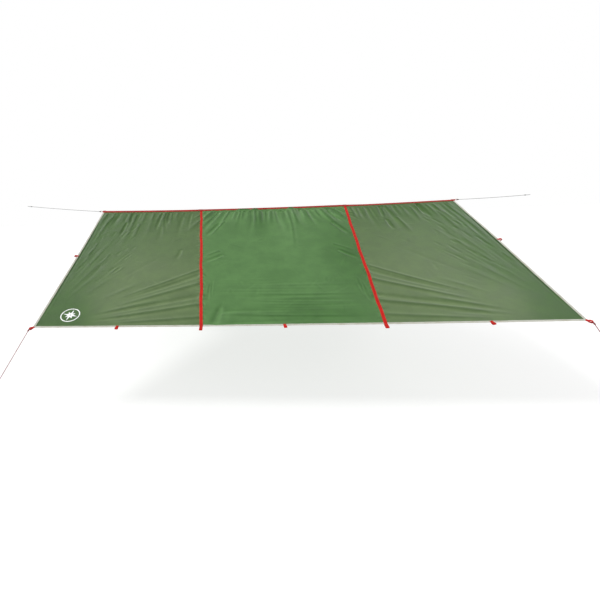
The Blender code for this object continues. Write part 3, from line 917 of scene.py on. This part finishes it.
# Pale green (painted sheen), deep green (painted shade), how much painted shade deepens the
# corners, and the patches.
SIDE_CLOTH = cloth_material(
    "nylon_side", (0.125, 0.184, 0.081), (0.060, 0.128, 0.034), 0.95, SIDE_PAINTED_PATCHES)
MIDDLE_CLOTH = cloth_material(
    "nylon_middle", (0.115, 0.236, 0.083), (0.058, 0.146, 0.039), 0.5, MIDDLE_PAINTED_PATCHES)
CLOTH = {"left": SIDE_CLOTH, "middle": MIDDLE_CLOTH, "right": SIDE_CLOTH}
STRAP_RED = webbing_material("webbing_red", (0.570, 0.010, 0.005), (0.30, 0.004, 0.002))
RIDGE_RED = webbing_material("webbing_ridge_red", (0.360, 0.020, 0.015), (0.18, 0.008, 0.007))
TAPE = tape_material("binding_tape", (0.50, 0.50, 0.44), (0.38, 0.38, 0.33))
GREY_CORD = cord_material("cord_grey_braid", (0.060, 0.062, 0.060), (0.20, 0.21, 0.20))
RED_CORD = cord_material("cord_red_braid", (0.30, 0.012, 0.020), (0.42, 0.12, 0.12))
ALLOY = metal_material("alloy_anodised", (0.50, 0.07, 0.06), 0.34, 1.25)
STEEL = metal_material("steel_wire", (0.52, 0.53, 0.55), 0.28, 1.3)
RED_THREAD = thread_material("thread_red", (0.72, 0.05, 0.04))
PALE_THREAD = thread_material("thread_pale", (0.70, 0.70, 0.60))
INK = ink_material("print_white")


def cross_joint(piece):
    """Bakes the piece's transform into its mesh."""
    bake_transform(piece)


# ---- stitching ----
THREAD_T = 0.0006


class Stitches:
    """Thread laid on the cloth, one short raised stitch at a time."""

    def __init__(self):
        self.rows = []

    def line(self, points, ups, pitch=0.0042, length=0.0030):
        """Stitches end to end along a line of points with the direction that is up there."""
        points = np.array(points)
        ups = np.broadcast_to(np.array(ups), points.shape)
        along = steps_of(points)
        at = np.arange(0.5 * pitch, along[-1], pitch)
        place, up = read_at(points, along, at), read_at(ups, along, at)
        reach = 0.3 * pitch
        way = unit(read_at(points, along, at + reach) - read_at(points, along, at - reach))
        self.rows.append((place, way, up, length))

    def piece(self, name, material):
        verts = []
        for place, way, up, length in self.rows:
            side = unit(np.cross(way, up))
            half, r = 0.5 * length, 0.5 * THREAD_T
            verts.append(np.stack([
                place + way * half, place - way * half,
                place + side * r, place - side * r,
                place + up * r, place - up * r,
            ], axis=1))
        verts = np.concatenate(verts)
        corners = np.array([
            (0, 4, 2), (0, 2, 5), (0, 5, 3), (0, 3, 4),
            (1, 2, 4), (1, 5, 2), (1, 3, 5), (1, 4, 3),
        ])
        faces = corners[None] + 6 * np.arange(len(verts))[:, None, None]
        return mesh_piece(name, verts.reshape(-1, 3), faces.reshape(-1, 3), None, material, 180.0)


# ---- panels, tapes and straps of one slope ----
NEAR_RIDGE = 0.040  # the rows of the cloth are closer together up to here
CUT_IN = 0.005  # how far inside the binding the cloth ends
SEAM_GAP = 0.00008


def cloth_rows(step):
    near = np.linspace(0.0, NEAR_RIDGE, 11)
    count = int((SLOPE_LENGTH - NEAR_RIDGE - CUT_IN) / step)
    return np.concatenate([near, np.linspace(NEAR_RIDGE, SLOPE_LENGTH - CUT_IN, count)[1:]])


def panel_edges(place, s):
    v = s / SLOPE_LENGTH
    left, right = seam_x(-1.0, s), seam_x(1.0, s)
    edge = half_width(v) - CUT_IN
    return {
        "left": (-edge, left - SEAM_GAP),
        "middle": (left + SEAM_GAP, right - SEAM_GAP),
        "right": (right + SEAM_GAP, edge),
    }[place]


def build_panel(side, place):
    front = side == "front"
    step = CLOTH_STEP if front else 1.25 * CLOTH_STEP
    s = cloth_rows(step)
    low, high = panel_edges(place, s)
    columns = int((high - low).max() / step) + 1
    share = np.linspace(0.0, 1.0, columns)[None, :]
    x = low[:, None] + (high - low)[:, None] * share
    s = np.broadcast_to(s[:, None], x.shape)
    relief = RELIEF[front]
    folds = relief.folded(x, s)
    puff = TUCK_UP * tuck(x) * np.exp(-(((s - TUCK_AT) / TUCK_WIDE) ** 2)) if front else 0.0
    up = CLOTH_UP + puff + relief.sewn(folds, x, s)
    grid = on_cloth(x, s, up, front)
    uv = np.stack([x, s], axis=-1)
    piece = sheet_piece(f"cloth_{side}_{place}", grid, CLOTH_T, CLOTH[place], uv)
    # Painted shade in creases and painted highlight on crests: the bend of the folds, taken as if
    # the straps did not hold them flat, is stored with the cloth for its material.
    bend = painted_crease_shade(x, s, puff + relief.sewn(folds, x, s, straps=False)).ravel()
    painted_shade = piece.data.attributes.new("hollow", "FLOAT", "POINT")
    painted_shade.data.foreach_set("value", np.concatenate([bend, -bend]).astype(np.float32))
    stands_for(piece, f"panel_{side}_{place}")
    cross_joint(piece)


def tape_section():
    """The binding folded over an edge: distance in and height, from one side to the other."""
    lay, r = HEM_W + 0.001, TAPE_UP
    section = [(lay - t, r) for t in np.linspace(0.0, lay - r, 6)]
    for k in range(1, 6):
        a = math.pi * k / 6.0
        section.append((r - r * math.sin(a), r * math.cos(a)))
    section += [(r + t, -r) for t in np.linspace(0.0, lay - r, 6)]
    return np.array(section)


def build_tape(side, place, stitches):
    """Hem tape folded over one edge of the sheet, with its row of stitches."""
    front = side == "front"
    if place == "eave":
        run = np.linspace(-0.5 * EAVE_LENGTH, 0.5 * EAVE_LENGTH, int(EAVE_LENGTH / 0.010))
        skip = 2
    else:
        low = np.linspace(NEAR_RIDGE, SLOPE_LENGTH - HEM_W - 0.0015, 206)
        run = np.concatenate([np.linspace(0.0, NEAR_RIDGE, 9), low[1:]])
        skip = 4
    slack = 0.0002 * np.sin(run * 95.0) + 0.0002 * np.sin(run * 41.0 + 1.0)

    def lay(run, inward, height, slack):
        if place == "eave":
            x, s = np.broadcast_arrays(run, SLOPE_LENGTH - inward)
        else:
            x, s = SIDES[place] * (half_width(run / SLOPE_LENGTH) - inward), run
        return on_cloth(x, s, CLOTH_UP + height + RELIEF[front].height(x, s) + slack, front)

    inward, height = tape_section().T
    grid = lay(run[:, None], inward, height, slack[:, None])
    uv = np.stack(np.broadcast_arrays(inward, run[:, None]), axis=-1)
    piece = sheet_piece(f"tape_{side}_{place}", grid, TAPE_T, TAPE, uv)
    stands_for(piece, f"hem_{side}_{place}")
    if place == "eave":
        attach(piece, f"{side}_slope")
    else:
        cross_joint(piece)
    line = lay(run, HEM_W - 0.003, TAPE_UP + 0.5 * TAPE_T, slack)
    stitches.line(line[skip:], up_of(front))
    return piece


def build_strap(side, place, stitches):
    """Webbing down the seam, with a row of stitches near each edge."""
    front = side == "front"
    sign = SIDES[place]
    low = np.linspace(NEAR_RIDGE, SLOPE_LENGTH, 250)
    s = np.concatenate([np.linspace(0.012, NEAR_RIDGE, 6), low[1:]])
    centre = seam_x(sign, s)
    across = np.linspace(-0.5, 0.5, 9) * STRAP_W
    wide = 1.0 + 0.02 * np.sin(s * 31.0 + sign)
    x = centre[:, None] + across * wide[:, None]
    crown = -0.0004 * (across / (0.5 * STRAP_W)) ** 2
    lift = RELIEF[front].height(centre, s)[:, None]
    ripple = 0.0005 * np.sin(s * 57.0 + sign) * np.sin(s * 11.0) * smooth(0.05, 0.2, s)
    up = STRAP_UP + lift + crown + ripple[:, None]
    grid = on_cloth(x, s[:, None], up, front)
    uv = np.stack(np.broadcast_arrays(across, s[:, None]), axis=-1)
    piece = sheet_piece(f"strap_web_{side}_{place}", grid, STRAP_T, STRAP_RED, uv)
    stands_for(piece, f"strap_{side}_{place}")
    cross_joint(piece)
    for column in (1, 7):
        line = on_cloth(x[:, column], s, up[:, column] + 0.5 * STRAP_T, front)
        stitches.line(line[6:], up_of(front))


# Out from the edge: where the two ends of a loop lie on the sheet, and its rows of tacks.
LOOP_SEWN = (-0.017, -0.009, -0.002)
LOOP_TACKS = (-0.014, -0.005)


def sewn_loop(side, node, at, out, size, width, stitches, lay, slant):
    """Webbing folded into a loop, its two ends sewn above and below the edge it stands on."""
    length, height = size
    out, up = Vector(out).normalized(), up_of(side == "front").normalized()
    across = out.cross(up).normalized()
    out = (out + across * slant).normalized()
    across = out.cross(up).normalized()
    r = 0.5 * (height + WEB_T)
    far = WEB_T + GAP + length - 0.5 * height
    flat_top = lay + 0.5 * LOOP_T
    profile = [(d, flat_top) for d in LOOP_SEWN]
    profile += [(0.35 * far, 0.86 * r), (far - 0.004, r)]
    for k in range(9):
        a = math.pi * (0.5 - k / 8.0)
        profile.append((far + r * math.cos(a), r * math.sin(a)))
    profile += [(far - 0.004, -r), (0.35 * far, -0.86 * r)]
    profile += [(d, -flat_top) for d in reversed(LOOP_SEWN)]
    path = [at + out * d + up * h for d, h in profile]
    path = np.array(smooth_route(path, [4] * (len(path) - 1)))
    piece = band_piece("loop_web_" + node, path, across, width, STRAP_RED)
    stands_for(piece, node, f"{side}_slope")
    top = flat_top + 0.5 * LOOP_T + 0.0001
    reach = 0.40 * width
    for d in LOOP_TACKS:
        for tack in range(3):
            row = at + out * (d + 0.0007 * tack) + up * top
            stitches.line([row - across * reach, row + across * reach], up, 0.0017, 0.0016)
    for edge in (-reach, reach):
        ends = [at + out * d + up * top + across * edge for d in (-0.014, -0.004)]
        stitches.line(ends, up, 0.0022, 0.0020)


def corner_way(sign, front):
    """The way a corner loop points."""
    level = Vector((sign * math.cos(CORNER_TURN), 0.0, 0.0))
    return level + down_of(front) * math.sin(CORNER_TURN)


def cloth_point(x, s, front):
    """The middle of the cloth at a place, folds included."""
    up = CLOTH_UP + float(RELIEF[front].height(np.array([x]), np.array([s]))[0])
    return Vector(on_cloth(np.array([x]), np.array([s]), up, front)[0])


def build_slope(side):
    front = side == "front"
    pale, red = Stitches(), Stitches()
    tapes = {place: build_tape(side, place, pale) for place in ("eave", "left", "right")}
    for place, tape in (("left", "left"), ("middle", "eave"), ("right", "right")):
        build_panel(side, place)
    down = down_of(front)
    over_hem = TAPE_UP + 0.5 * TAPE_T
    over_strap = STRAP_UP - CLOTH_UP + 0.5 * STRAP_T

    def loop(kind, place, x, s, out, size, width, lay=over_hem, slant=0.0):
        at = cloth_point(x, s, front)
        sewn_loop(side, f"{kind}_{side}_{place}", at, out, size, width, red, lay, slant)

    for place, sign in SIDES.items():
        build_strap(side, place, red)
        x = float(seam_x(sign, SLOPE_LENGTH))
        loop("strap_loop", place, x, SLOPE_LENGTH, down, STRAP_LOOP, STRAP_LOOP_W,
             over_strap, -0.05 * sign)
        v = SIDE_TABS_AT[place]
        loop("side_tab", place, sign * half_width(v), v * SLOPE_LENGTH, (sign, 0.0, 0.0),
             SIDE_LOOP, NARROW_WEB_W, slant=0.08)
        loop("corner_loop", place, sign * half_width(1.0), SLOPE_LENGTH,
             corner_way(sign, front), CORNER_LOOP, NARROW_WEB_W)
    for place, (x, slant) in EAVE_TABS.items():
        loop("eave_tab", place, x, SLOPE_LENGTH, down, TAB_LOOP, WEB_W,
             slant=slant if front else -slant)
    for stitches, colour, material in ((pale, "pale", PALE_THREAD), (red, "red", RED_THREAD)):
        cross_joint(stitches.piece(f"stitching_{side}_{colour}", material))


# ---- ridge ----
def build_ridge():
    """Wide webbing folded over the ridge, lying on the cloth and over the tops of the straps."""
    count = int(RIDGE_LENGTH / 0.010)
    x = np.linspace(-0.5 * RIDGE_LENGTH, 0.5 * RIDGE_LENGTH, count)[:, None]
    share = np.linspace(-1.0, 1.0, 25)[None, :]
    middle = 1.0 - smooth(0.70, 1.00, np.abs(x))
    ragged = 0.0016 * np.sin(x * 37.0) + 0.0012 * np.sin(x * 83.0 + 1.0)
    wing = RIDGE_WING + ragged * middle - 0.004 * middle
    s = share * wing * np.where(share > 0.0, 1.0 - 0.75 * np.minimum(tuck(x), 1.0), 1.0)
    on_strap = 1.0 - smooth(0.012, 0.032, np.abs(np.abs(x) - SEAM_AT_RIDGE))
    up = 0.0010 + 0.0018 * on_strap + 0.0006 * middle * np.sin(x * 61.0) * np.abs(share)
    grid = on_cloth(x, s, up, True)
    uv = np.stack(np.broadcast_arrays(s, x), axis=-1)
    piece = sheet_piece("webbing_ridge", grid, LOOP_T, RIDGE_RED, uv)
    stands_for(piece, "ridge_webbing", "ridge")

    stitches = Stitches()
    normals = grid_normals(grid)
    if normals[..., 2].mean() < 0.0:
        normals = -normals
    for column in (2, 22):
        line = grid[:, column] + normals[:, column] * (0.5 * LOOP_T)
        stitches.line(line, normals[:, column])
    for place, sign in SIDES.items():
        build_ridge_end(place, sign)
    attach(stitches.piece("stitching_ridge", RED_THREAD), "ridge")


def build_ridge_end(place, sign):
    """The loop at one end of the ridge, and the cord tied into it."""
    x = sign * 0.5 * RIDGE_LENGTH
    end = Vector((x, 0.0, float(sag(x, 0.0) + tilt(x, 0.0)) + RIDGE_LIFT))
    out = Vector((sign * math.cos(RIDGE_END_RISE), 0.0, math.sin(RIDGE_END_RISE)))
    up = Vector((-sign * math.sin(RIDGE_END_RISE), 0.0, math.cos(RIDGE_END_RISE)))
    root = end + out * RIDGE_LOOP_OFF
    length, height = RIDGE_LOOP
    r = 0.5 * (height + WEB_T)
    far = WEB_T + GAP + length - 0.5 * height
    top = BEADS[place] + 0.0022
    profile = [(-0.034, top), (-0.020, top), (-0.006, top - 0.0005), (0.45 * far, 0.80 * r)]
    for k in range(9):
        a = math.pi * (0.5 - k / 8.0)
        profile.append((far + r * math.cos(a), r * math.sin(a)))
    profile += [(0.45 * far, -0.9 * r), (0.006, -0.0045), (0.0022, -0.0040)]
    path = [root + out * d + up * h for d, h in profile]
    path = np.array(smooth_route(path, [4] * (len(path) - 1)))
    along = (path - np.array(root)) @ np.array(out)
    crown = 1.05 * (1.0 - smooth(0.0, 0.6 * far, along)) * (path[:, 2] > root.z)
    across = out.cross(up).normalized()
    node = f"ridge_loop_{place}"
    stands_for(band_piece("loop_web_" + node, path, across, WEB_W, RIDGE_RED, crown), node, "ridge")

    length, rise = RIDGE_CORDS[place]
    a = math.radians(rise)
    along = Vector((sign * math.cos(a), 0.0, math.sin(a)))
    start = root + out * (RIDGE_LOOP[0] + 2.0 * WEB_T + 2.0 * GAP + 0.0002)
    drop = Vector((0.0, 0.0, -0.004))
    knots = [
        start,
        start + along * (0.25 * length) + drop * 0.75,
        start + along * (0.5 * length) + drop,
        start + along * (0.75 * length) + drop * 0.75,
        start + along * length,
    ]
    points = smooth_route(knots, [18, 18, 18, 18])
    cord = braid(f"cord_ridge_{place}", points, RIDGE_CORD_D, GREY_CORD)
    stands_for(cord, f"ridge_cord_{place}", "ridge")
    near = tie(f"knot_ridge_{place}_near", start, along, out, across, RIDGE_CORD_D, GREY_CORD)
    tip = Vector(points[-1])
    last = tip - Vector(points[-2])
    end_loop = eye_knot(f"knot_ridge_{place}_far", tip, last, RIDGE_CORD_D, GREY_CORD)
    for knot in (near, end_loop):
        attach(knot, "ridge")


# ---- knots ----
EYE = (0.022, 0.010)  # half its length and half its width
EYE_TURNS_BACK = 0.014


def coil(name, start, way, radius, turns, pitch, d, material):
    """Turns of cord wound round a line, from start along way."""
    way = way.normalized()
    a = way.orthogonal().normalized()
    b = way.cross(a)
    count = int(turns * 22)
    points = []
    for k in range(count + 1):
        t = 2.0 * math.pi * turns * k / count
        round_line = (a * math.cos(t) + b * math.sin(t)) * radius
        points.append(tuple(start + way * (pitch * turns * k / count) + round_line))
    return braid(name, points, d, material, 0.5 * d, 10)


def ring(name, centre, a, b, r_a, r_b, d, material):
    """A closed turn of cord in the plane of a and b."""
    count, sides = 36, 10
    points = np.array([
        tuple(centre + a * (r_a * math.cos(t)) + b * (r_b * math.sin(t))) for t in whole_turn(count)
    ])
    turn = whole_turn(sides)
    rings = rings_round(points, 0.5 * d, turn, closed=True)
    faces = grid_faces(count, sides, wrap_rows=True, wrap_columns=True)
    along = 2.0 * math.pi * r_a * np.arange(count) / count
    uv = np.stack([np.tile(turn / (2.0 * math.pi), count), np.repeat(along, sides)], axis=-1)
    return mesh_piece(name, rings.reshape(-1, 3), faces, uv, material)


def tie(name, start, way, out, across, d, material):
    """The cord passed round the end of a webbing loop and wound back on itself."""
    way, out = way.normalized(), out.normalized()
    centre = start - out * (0.5 * WEB_T + 0.0008 + 0.35 * d)
    up = across.cross(out).normalized()
    r = 0.5 * WEB_T + 0.5 * d + 0.0006
    thin, near = 0.92 * d, start + way * 0.004
    turn = ring(name, centre, out, up, r + 0.35 * d, r, thin, material)
    wound = coil(name + "_turns", near, way, 0.88 * d, 3.0, 0.95 * d, thin, material)
    return join(name, [turn, wound])


def eye_knot(name, start, way, d, material):
    """An overhand loop at the cord's end: a few turns and a drawn-out eye."""
    way = way.normalized()
    thin, near = 0.92 * d, start - way * EYE_TURNS_BACK
    wound = coil(name + "_turns", near, way, 0.90 * d, 3.5, 0.95 * d, thin, material)
    side = Vector((0.0, 1.0, 0.0))
    eye = ring(name, start + way * EYE[0], way, side, *EYE, thin, material)
    return join(name, [eye, wound])


# ---- guy lines ----
# Along the line: past the runner's far face, to where its curve begins, and back to the knot.
PAST_RUNNER, TO_CURVE, TO_STOP = 0.012, 0.090, 0.018


def guy_places(place, sign):
    """Where one guy line starts and ends, and the directions of its parts."""
    out = corner_way(sign, True)
    x = sign * half_width(1.0)
    top = Vector((x, 0.0, float(sag(x, 1.0)) - EAVE_SAG))
    corner = top + down_of(True) * SLOPE_LENGTH - up_of(True) * 0.001
    tip = corner + out * (CORNER_LOOP[0] + 2.0 * WEB_T + GAP)
    hook = Vector((*PEGS[place], GROUND_Z + 0.020))
    g = (hook - tip).normalized()
    side = Vector((0.0, 0.0, 1.0)).cross(g).normalized()
    return tip, hook, g, side, out


def build_guy(place, sign):
    tip, hook, g, side, out = guy_places(place, sign)
    start = tip + g * 0.0022
    runner = hook - g * RUNNER_UP
    bend = hook - g * HAIRPIN_BACK
    back = runner + side * RUNNER_HOLES
    knots = [
        start,
        start.lerp(runner, 0.5),
        runner - g * 0.030,
        runner + g * PAST_RUNNER,
        runner + g * TO_CURVE - side * (0.35 * HAIRPIN_R),
    ]
    for degrees in (-90.0, -45.0, 0.0, 45.0, 90.0):
        a = math.radians(degrees)
        knots.append(bend + (g * math.cos(a) + side * math.sin(a)) * HAIRPIN_R)
    knots += [
        back + g * TO_CURVE - side * (0.30 * RUNNER_HOLES),
        back + g * PAST_RUNNER,
        back - g * TO_STOP,
    ]
    spans = [20, 19, 3, 6, 16, 12, 12, 12, 12, 16, 10, 8]
    points = smooth_route(knots, spans)
    turned = sum(spans[:9])
    guy, slider = f"guy_{place}", f"runner_{place}"
    node = f"guy_line_{place}"

    down_line, up_line = points[: turned + 1], points[turned:]
    main = braid(f"cord_guy_{place}", down_line, GUY_D, RED_CORD)
    tail = braid(f"cord_guy_{place}_tail", up_line, GUY_D, RED_CORD)
    stands_for(main, node)
    stands_for(tail, node)
    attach(main, guy)
    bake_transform(tail)

    across = out.cross(up_of(True)).normalized()
    top = tie(f"knot_guy_{place}_top", start, g, out, across, GUY_D, RED_CORD)
    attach(top, guy)
    stop = coil(f"knot_guy_{place}_stop", back - g * TO_STOP, g, 0.55 * GUY_D, 2.2,
                0.8 * GUY_D, 0.9 * GUY_D, RED_CORD)
    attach(stop, slider)
    build_runner(place, runner, g, side)
    build_peg(place, hook, g)


def build_runner(place, at, g, side):
    """Two-hole runner: a flat bar with every edge rounded."""
    length, width, thick = RUNNER_SIZE
    name = f"runner_bar_{place}"
    edge = 0.0011
    curve = bpy.data.curves.new(name, "CURVE")
    curve.dimensions = "2D"
    curve.fill_mode = "BOTH"
    curve.extrude = 0.5 * thick - edge
    curve.bevel_depth = edge
    curve.bevel_resolution = 3
    curve.offset = -edge
    straight, r = 0.5 * (length - width), 0.5 * width
    outline = []
    for end in (1.0, -1.0):
        for k in range(17):
            a = math.radians(90.0 - 180.0 * k / 16.0)
            outline.append((end * (straight + r * math.cos(a)), end * r * math.sin(a)))
    holes = [
        [
            (shift + RUNNER_HOLE_R * math.cos(a), RUNNER_HOLE_R * math.sin(a))
            for a in whole_turn(28)
        ]
        for shift in (-0.5 * RUNNER_HOLES, 0.5 * RUNNER_HOLES)
    ]
    for loop in [outline, *holes]:
        spline = curve.splines.new("POLY")
        spline.points.add(len(loop) - 1)
        for point, (u, w) in zip(spline.points, loop):
            point.co = (u, w, 0.0, 1.0)
        spline.use_cyclic_u = True
    curve.materials.append(ALLOY)
    piece = linked(name, curve)
    deep = g.cross(side).normalized()
    centre = at + side * (0.5 * RUNNER_HOLES)
    turn = Matrix((side, deep, side.cross(deep))).transposed().to_4x4()
    piece.matrix_world = Matrix.Translation(centre) @ turn
    stands_for(piece, f"guy_runner_{place}", f"runner_{place}")


def build_peg(place, hook, g):
    """Steel wire peg with a hooked top and a pointed foot."""
    away = Vector((g.x, g.y, 0.0)).normalized()
    shaft = Vector((0.0, 0.0, math.cos(PEG_LEAN))) + away * math.sin(PEG_LEAN)
    over = away * math.cos(PEG_LEAN) - Vector((0.0, 0.0, math.sin(PEG_LEAN)))
    top = hook + shaft * 0.016
    knots = [hook - shaft * PEG_DOWN, hook - shaft * (0.5 * PEG_DOWN), hook, top]
    for degrees in (45.0, 90.0, 135.0, 180.0):
        a = math.radians(degrees)
        knots.append(top + over * (HOOK_R * (1.0 - math.cos(a))) + shaft * (HOOK_R * math.sin(a)))
    knots.append(top + over * (2.0 * HOOK_R) - shaft * 0.012)
    points = resample(smooth_route(knots, [20, 20, 8, 12, 12, 12, 12, 12]), 0.0015)
    along, turn = steps_of(points), whole_turn(16)
    r = 0.5 * PEG_D * np.clip(along / 0.018, 0.08, 1.0)
    r = r * np.sqrt(np.clip((along[-1] - along) / (0.4 * PEG_D), 0.05, 1.0))
    rings = rings_round(points, r[:, None], turn)
    piece = swept(f"peg_wire_{place}", rings, STEEL, along, turn / (2.0 * math.pi))
    stands_for(piece, f"guy_peg_{place}", f"peg_{place}")


# ---- printed emblem ----
EMBLEM_AT = (-1.935, 1.938)
EMBLEM_R = 0.088
EMBLEM_TURN = math.radians(14.0)
PRINT_T = 0.00025


def print_patch(name, angles, inner, outer, rows=7):
    """A print on the cloth between two outlines, given by their radius at each angle."""
    share = np.linspace(0.0, 1.0, rows)[:, None]
    r = inner + (outer - inner) * share
    x, s = EMBLEM_AT[0] + r * np.cos(angles), EMBLEM_AT[1] + r * np.sin(angles)
    up = CLOTH_UP + 0.5 * CLOTH_T + PRINT_T + RELIEF[True].height(x, s)
    grid = on_cloth(x, s, up, True)
    return sheet_piece(name, grid, PRINT_T, INK, np.stack([x, s], axis=-1))


def build_emblem():
    """A plain compass star in a ring."""
    full = np.linspace(0.0, 2.0 * math.pi, 145)
    parts = [print_patch("ring", full, 0.90 * EMBLEM_R, EMBLEM_R, 3)]
    for k in range(8):
        point = EMBLEM_TURN + math.pi * k / 4.0
        reach = (0.82 if k % 2 == 0 else 0.56) * EMBLEM_R
        waist = 0.27 * EMBLEM_R
        half = math.pi / 8.0
        t = np.linspace(-half, half, 15)
        lean = 1.0 - np.abs(t) / half
        outer = 1.0 / ((1.0 - lean) / waist + lean / reach)
        parts.append(print_patch(f"star_{k}", point + t, 0.006, outer))
    emblem = join("print_compass_star", parts)
    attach(emblem, "front_slope")


# ---- studio ----
CAMERA_AT = Vector((-0.4542, -5.0493, 0.0264))
CAMERA_YAW = math.radians(-5.741)
CAMERA_PITCH = math.radians(-13.777)
CAMERA_ROLL = math.radians(2.376)
CAMERA_LENS = 23.715
CAMERA_SHIFT = (0.1713, 0.0103)


def build_camera():
    cy, sy = math.cos(CAMERA_YAW), math.sin(CAMERA_YAW)
    cp, sp = math.cos(CAMERA_PITCH), math.sin(CAMERA_PITCH)
    ahead = Vector((sy * cp, cy * cp, sp))
    level = Vector((cy, -sy, 0.0))
    below = ahead.cross(level)
    right = level * math.cos(CAMERA_ROLL) + below * math.sin(CAMERA_ROLL)
    low = below * math.cos(CAMERA_ROLL) - level * math.sin(CAMERA_ROLL)
    data = bpy.data.cameras.new("camera")
    data.lens = CAMERA_LENS
    data.shift_x, data.shift_y = CAMERA_SHIFT
    camera = linked("camera", data)
    turn = Matrix((right, -low, -ahead)).transposed().to_4x4()
    camera.matrix_world = Matrix.Translation(CAMERA_AT) @ turn
    bpy.context.scene.camera = camera


def far_light(name, way, power, spread):
    """A broad lamp far away in the direction way."""
    data = bpy.data.lights.new(name, "SUN")
    data.energy = power
    data.angle = math.radians(spread)
    lamp = linked(name, data)
    lamp.rotation_euler = Vector(way).to_track_quat("Z", "Y").to_euler()


FLOOR_COLOUR = (0.30, 0.30, 0.30)
FLOOR_GLOW = 0.74
# How bright the studio is: from and to this height of the direction, and both strengths.
SKY = (0.40, 0.80, 1.0, 0.42)
# Lamps: name, direction, strength and how wide they look, in degrees.
LAMPS = (
    ("key", (-0.62, -0.16, 0.76), 1.9, 16.0),
    ("back_left", (-0.40, 0.50, 0.77), 0.45, 22.0),
    ("back_right", (0.56, 0.48, 0.68), 0.45, 22.0),
)


def build_studio():
    mesh = bpy.data.meshes.new("floor")
    far = 60.0
    corners = ((-far, -far), (far, -far), (far, far), (-far, far))
    mesh.from_pydata([(*c, GROUND_Z) for c in corners], [], [(0, 1, 2, 3)])
    mesh.materials.append(floor_material(FLOOR_COLOUR, FLOOR_GLOW))
    linked("floor", mesh)
    world = bpy.data.worlds.new("studio")
    world.use_nodes = True
    tree = world.node_tree
    where = tree.nodes.new("ShaderNodeTexCoord")
    axes = tree.nodes.new("ShaderNodeSeparateXYZ")
    fade = tree.nodes.new("ShaderNodeMapRange")
    fade.interpolation_type = "SMOOTHSTEP"
    for key, value in zip(("From Min", "From Max", "To Min", "To Max"), SKY):
        fade.inputs[key].default_value = value
    tree.links.new(where.outputs["Generated"], axes.inputs[0])
    tree.links.new(axes.outputs[2], fade.inputs["Value"])
    tree.links.new(fade.outputs[0], tree.nodes["Background"].inputs["Strength"])
    tree.nodes["Background"].inputs["Color"].default_value = (1.0, 1.0, 1.0, 1.0)
    bpy.context.scene.world = world
    bpy.context.scene.view_settings.view_transform = "Standard"
    for name, way, power, spread in LAMPS:
        far_light(name, way, power, spread)


build_camera()
for place, sign in SIDES.items():
    build_guy(place, sign)
build_ridge()
for side in ("front", "rear"):
    build_slope(side)
build_emblem()
build_studio()
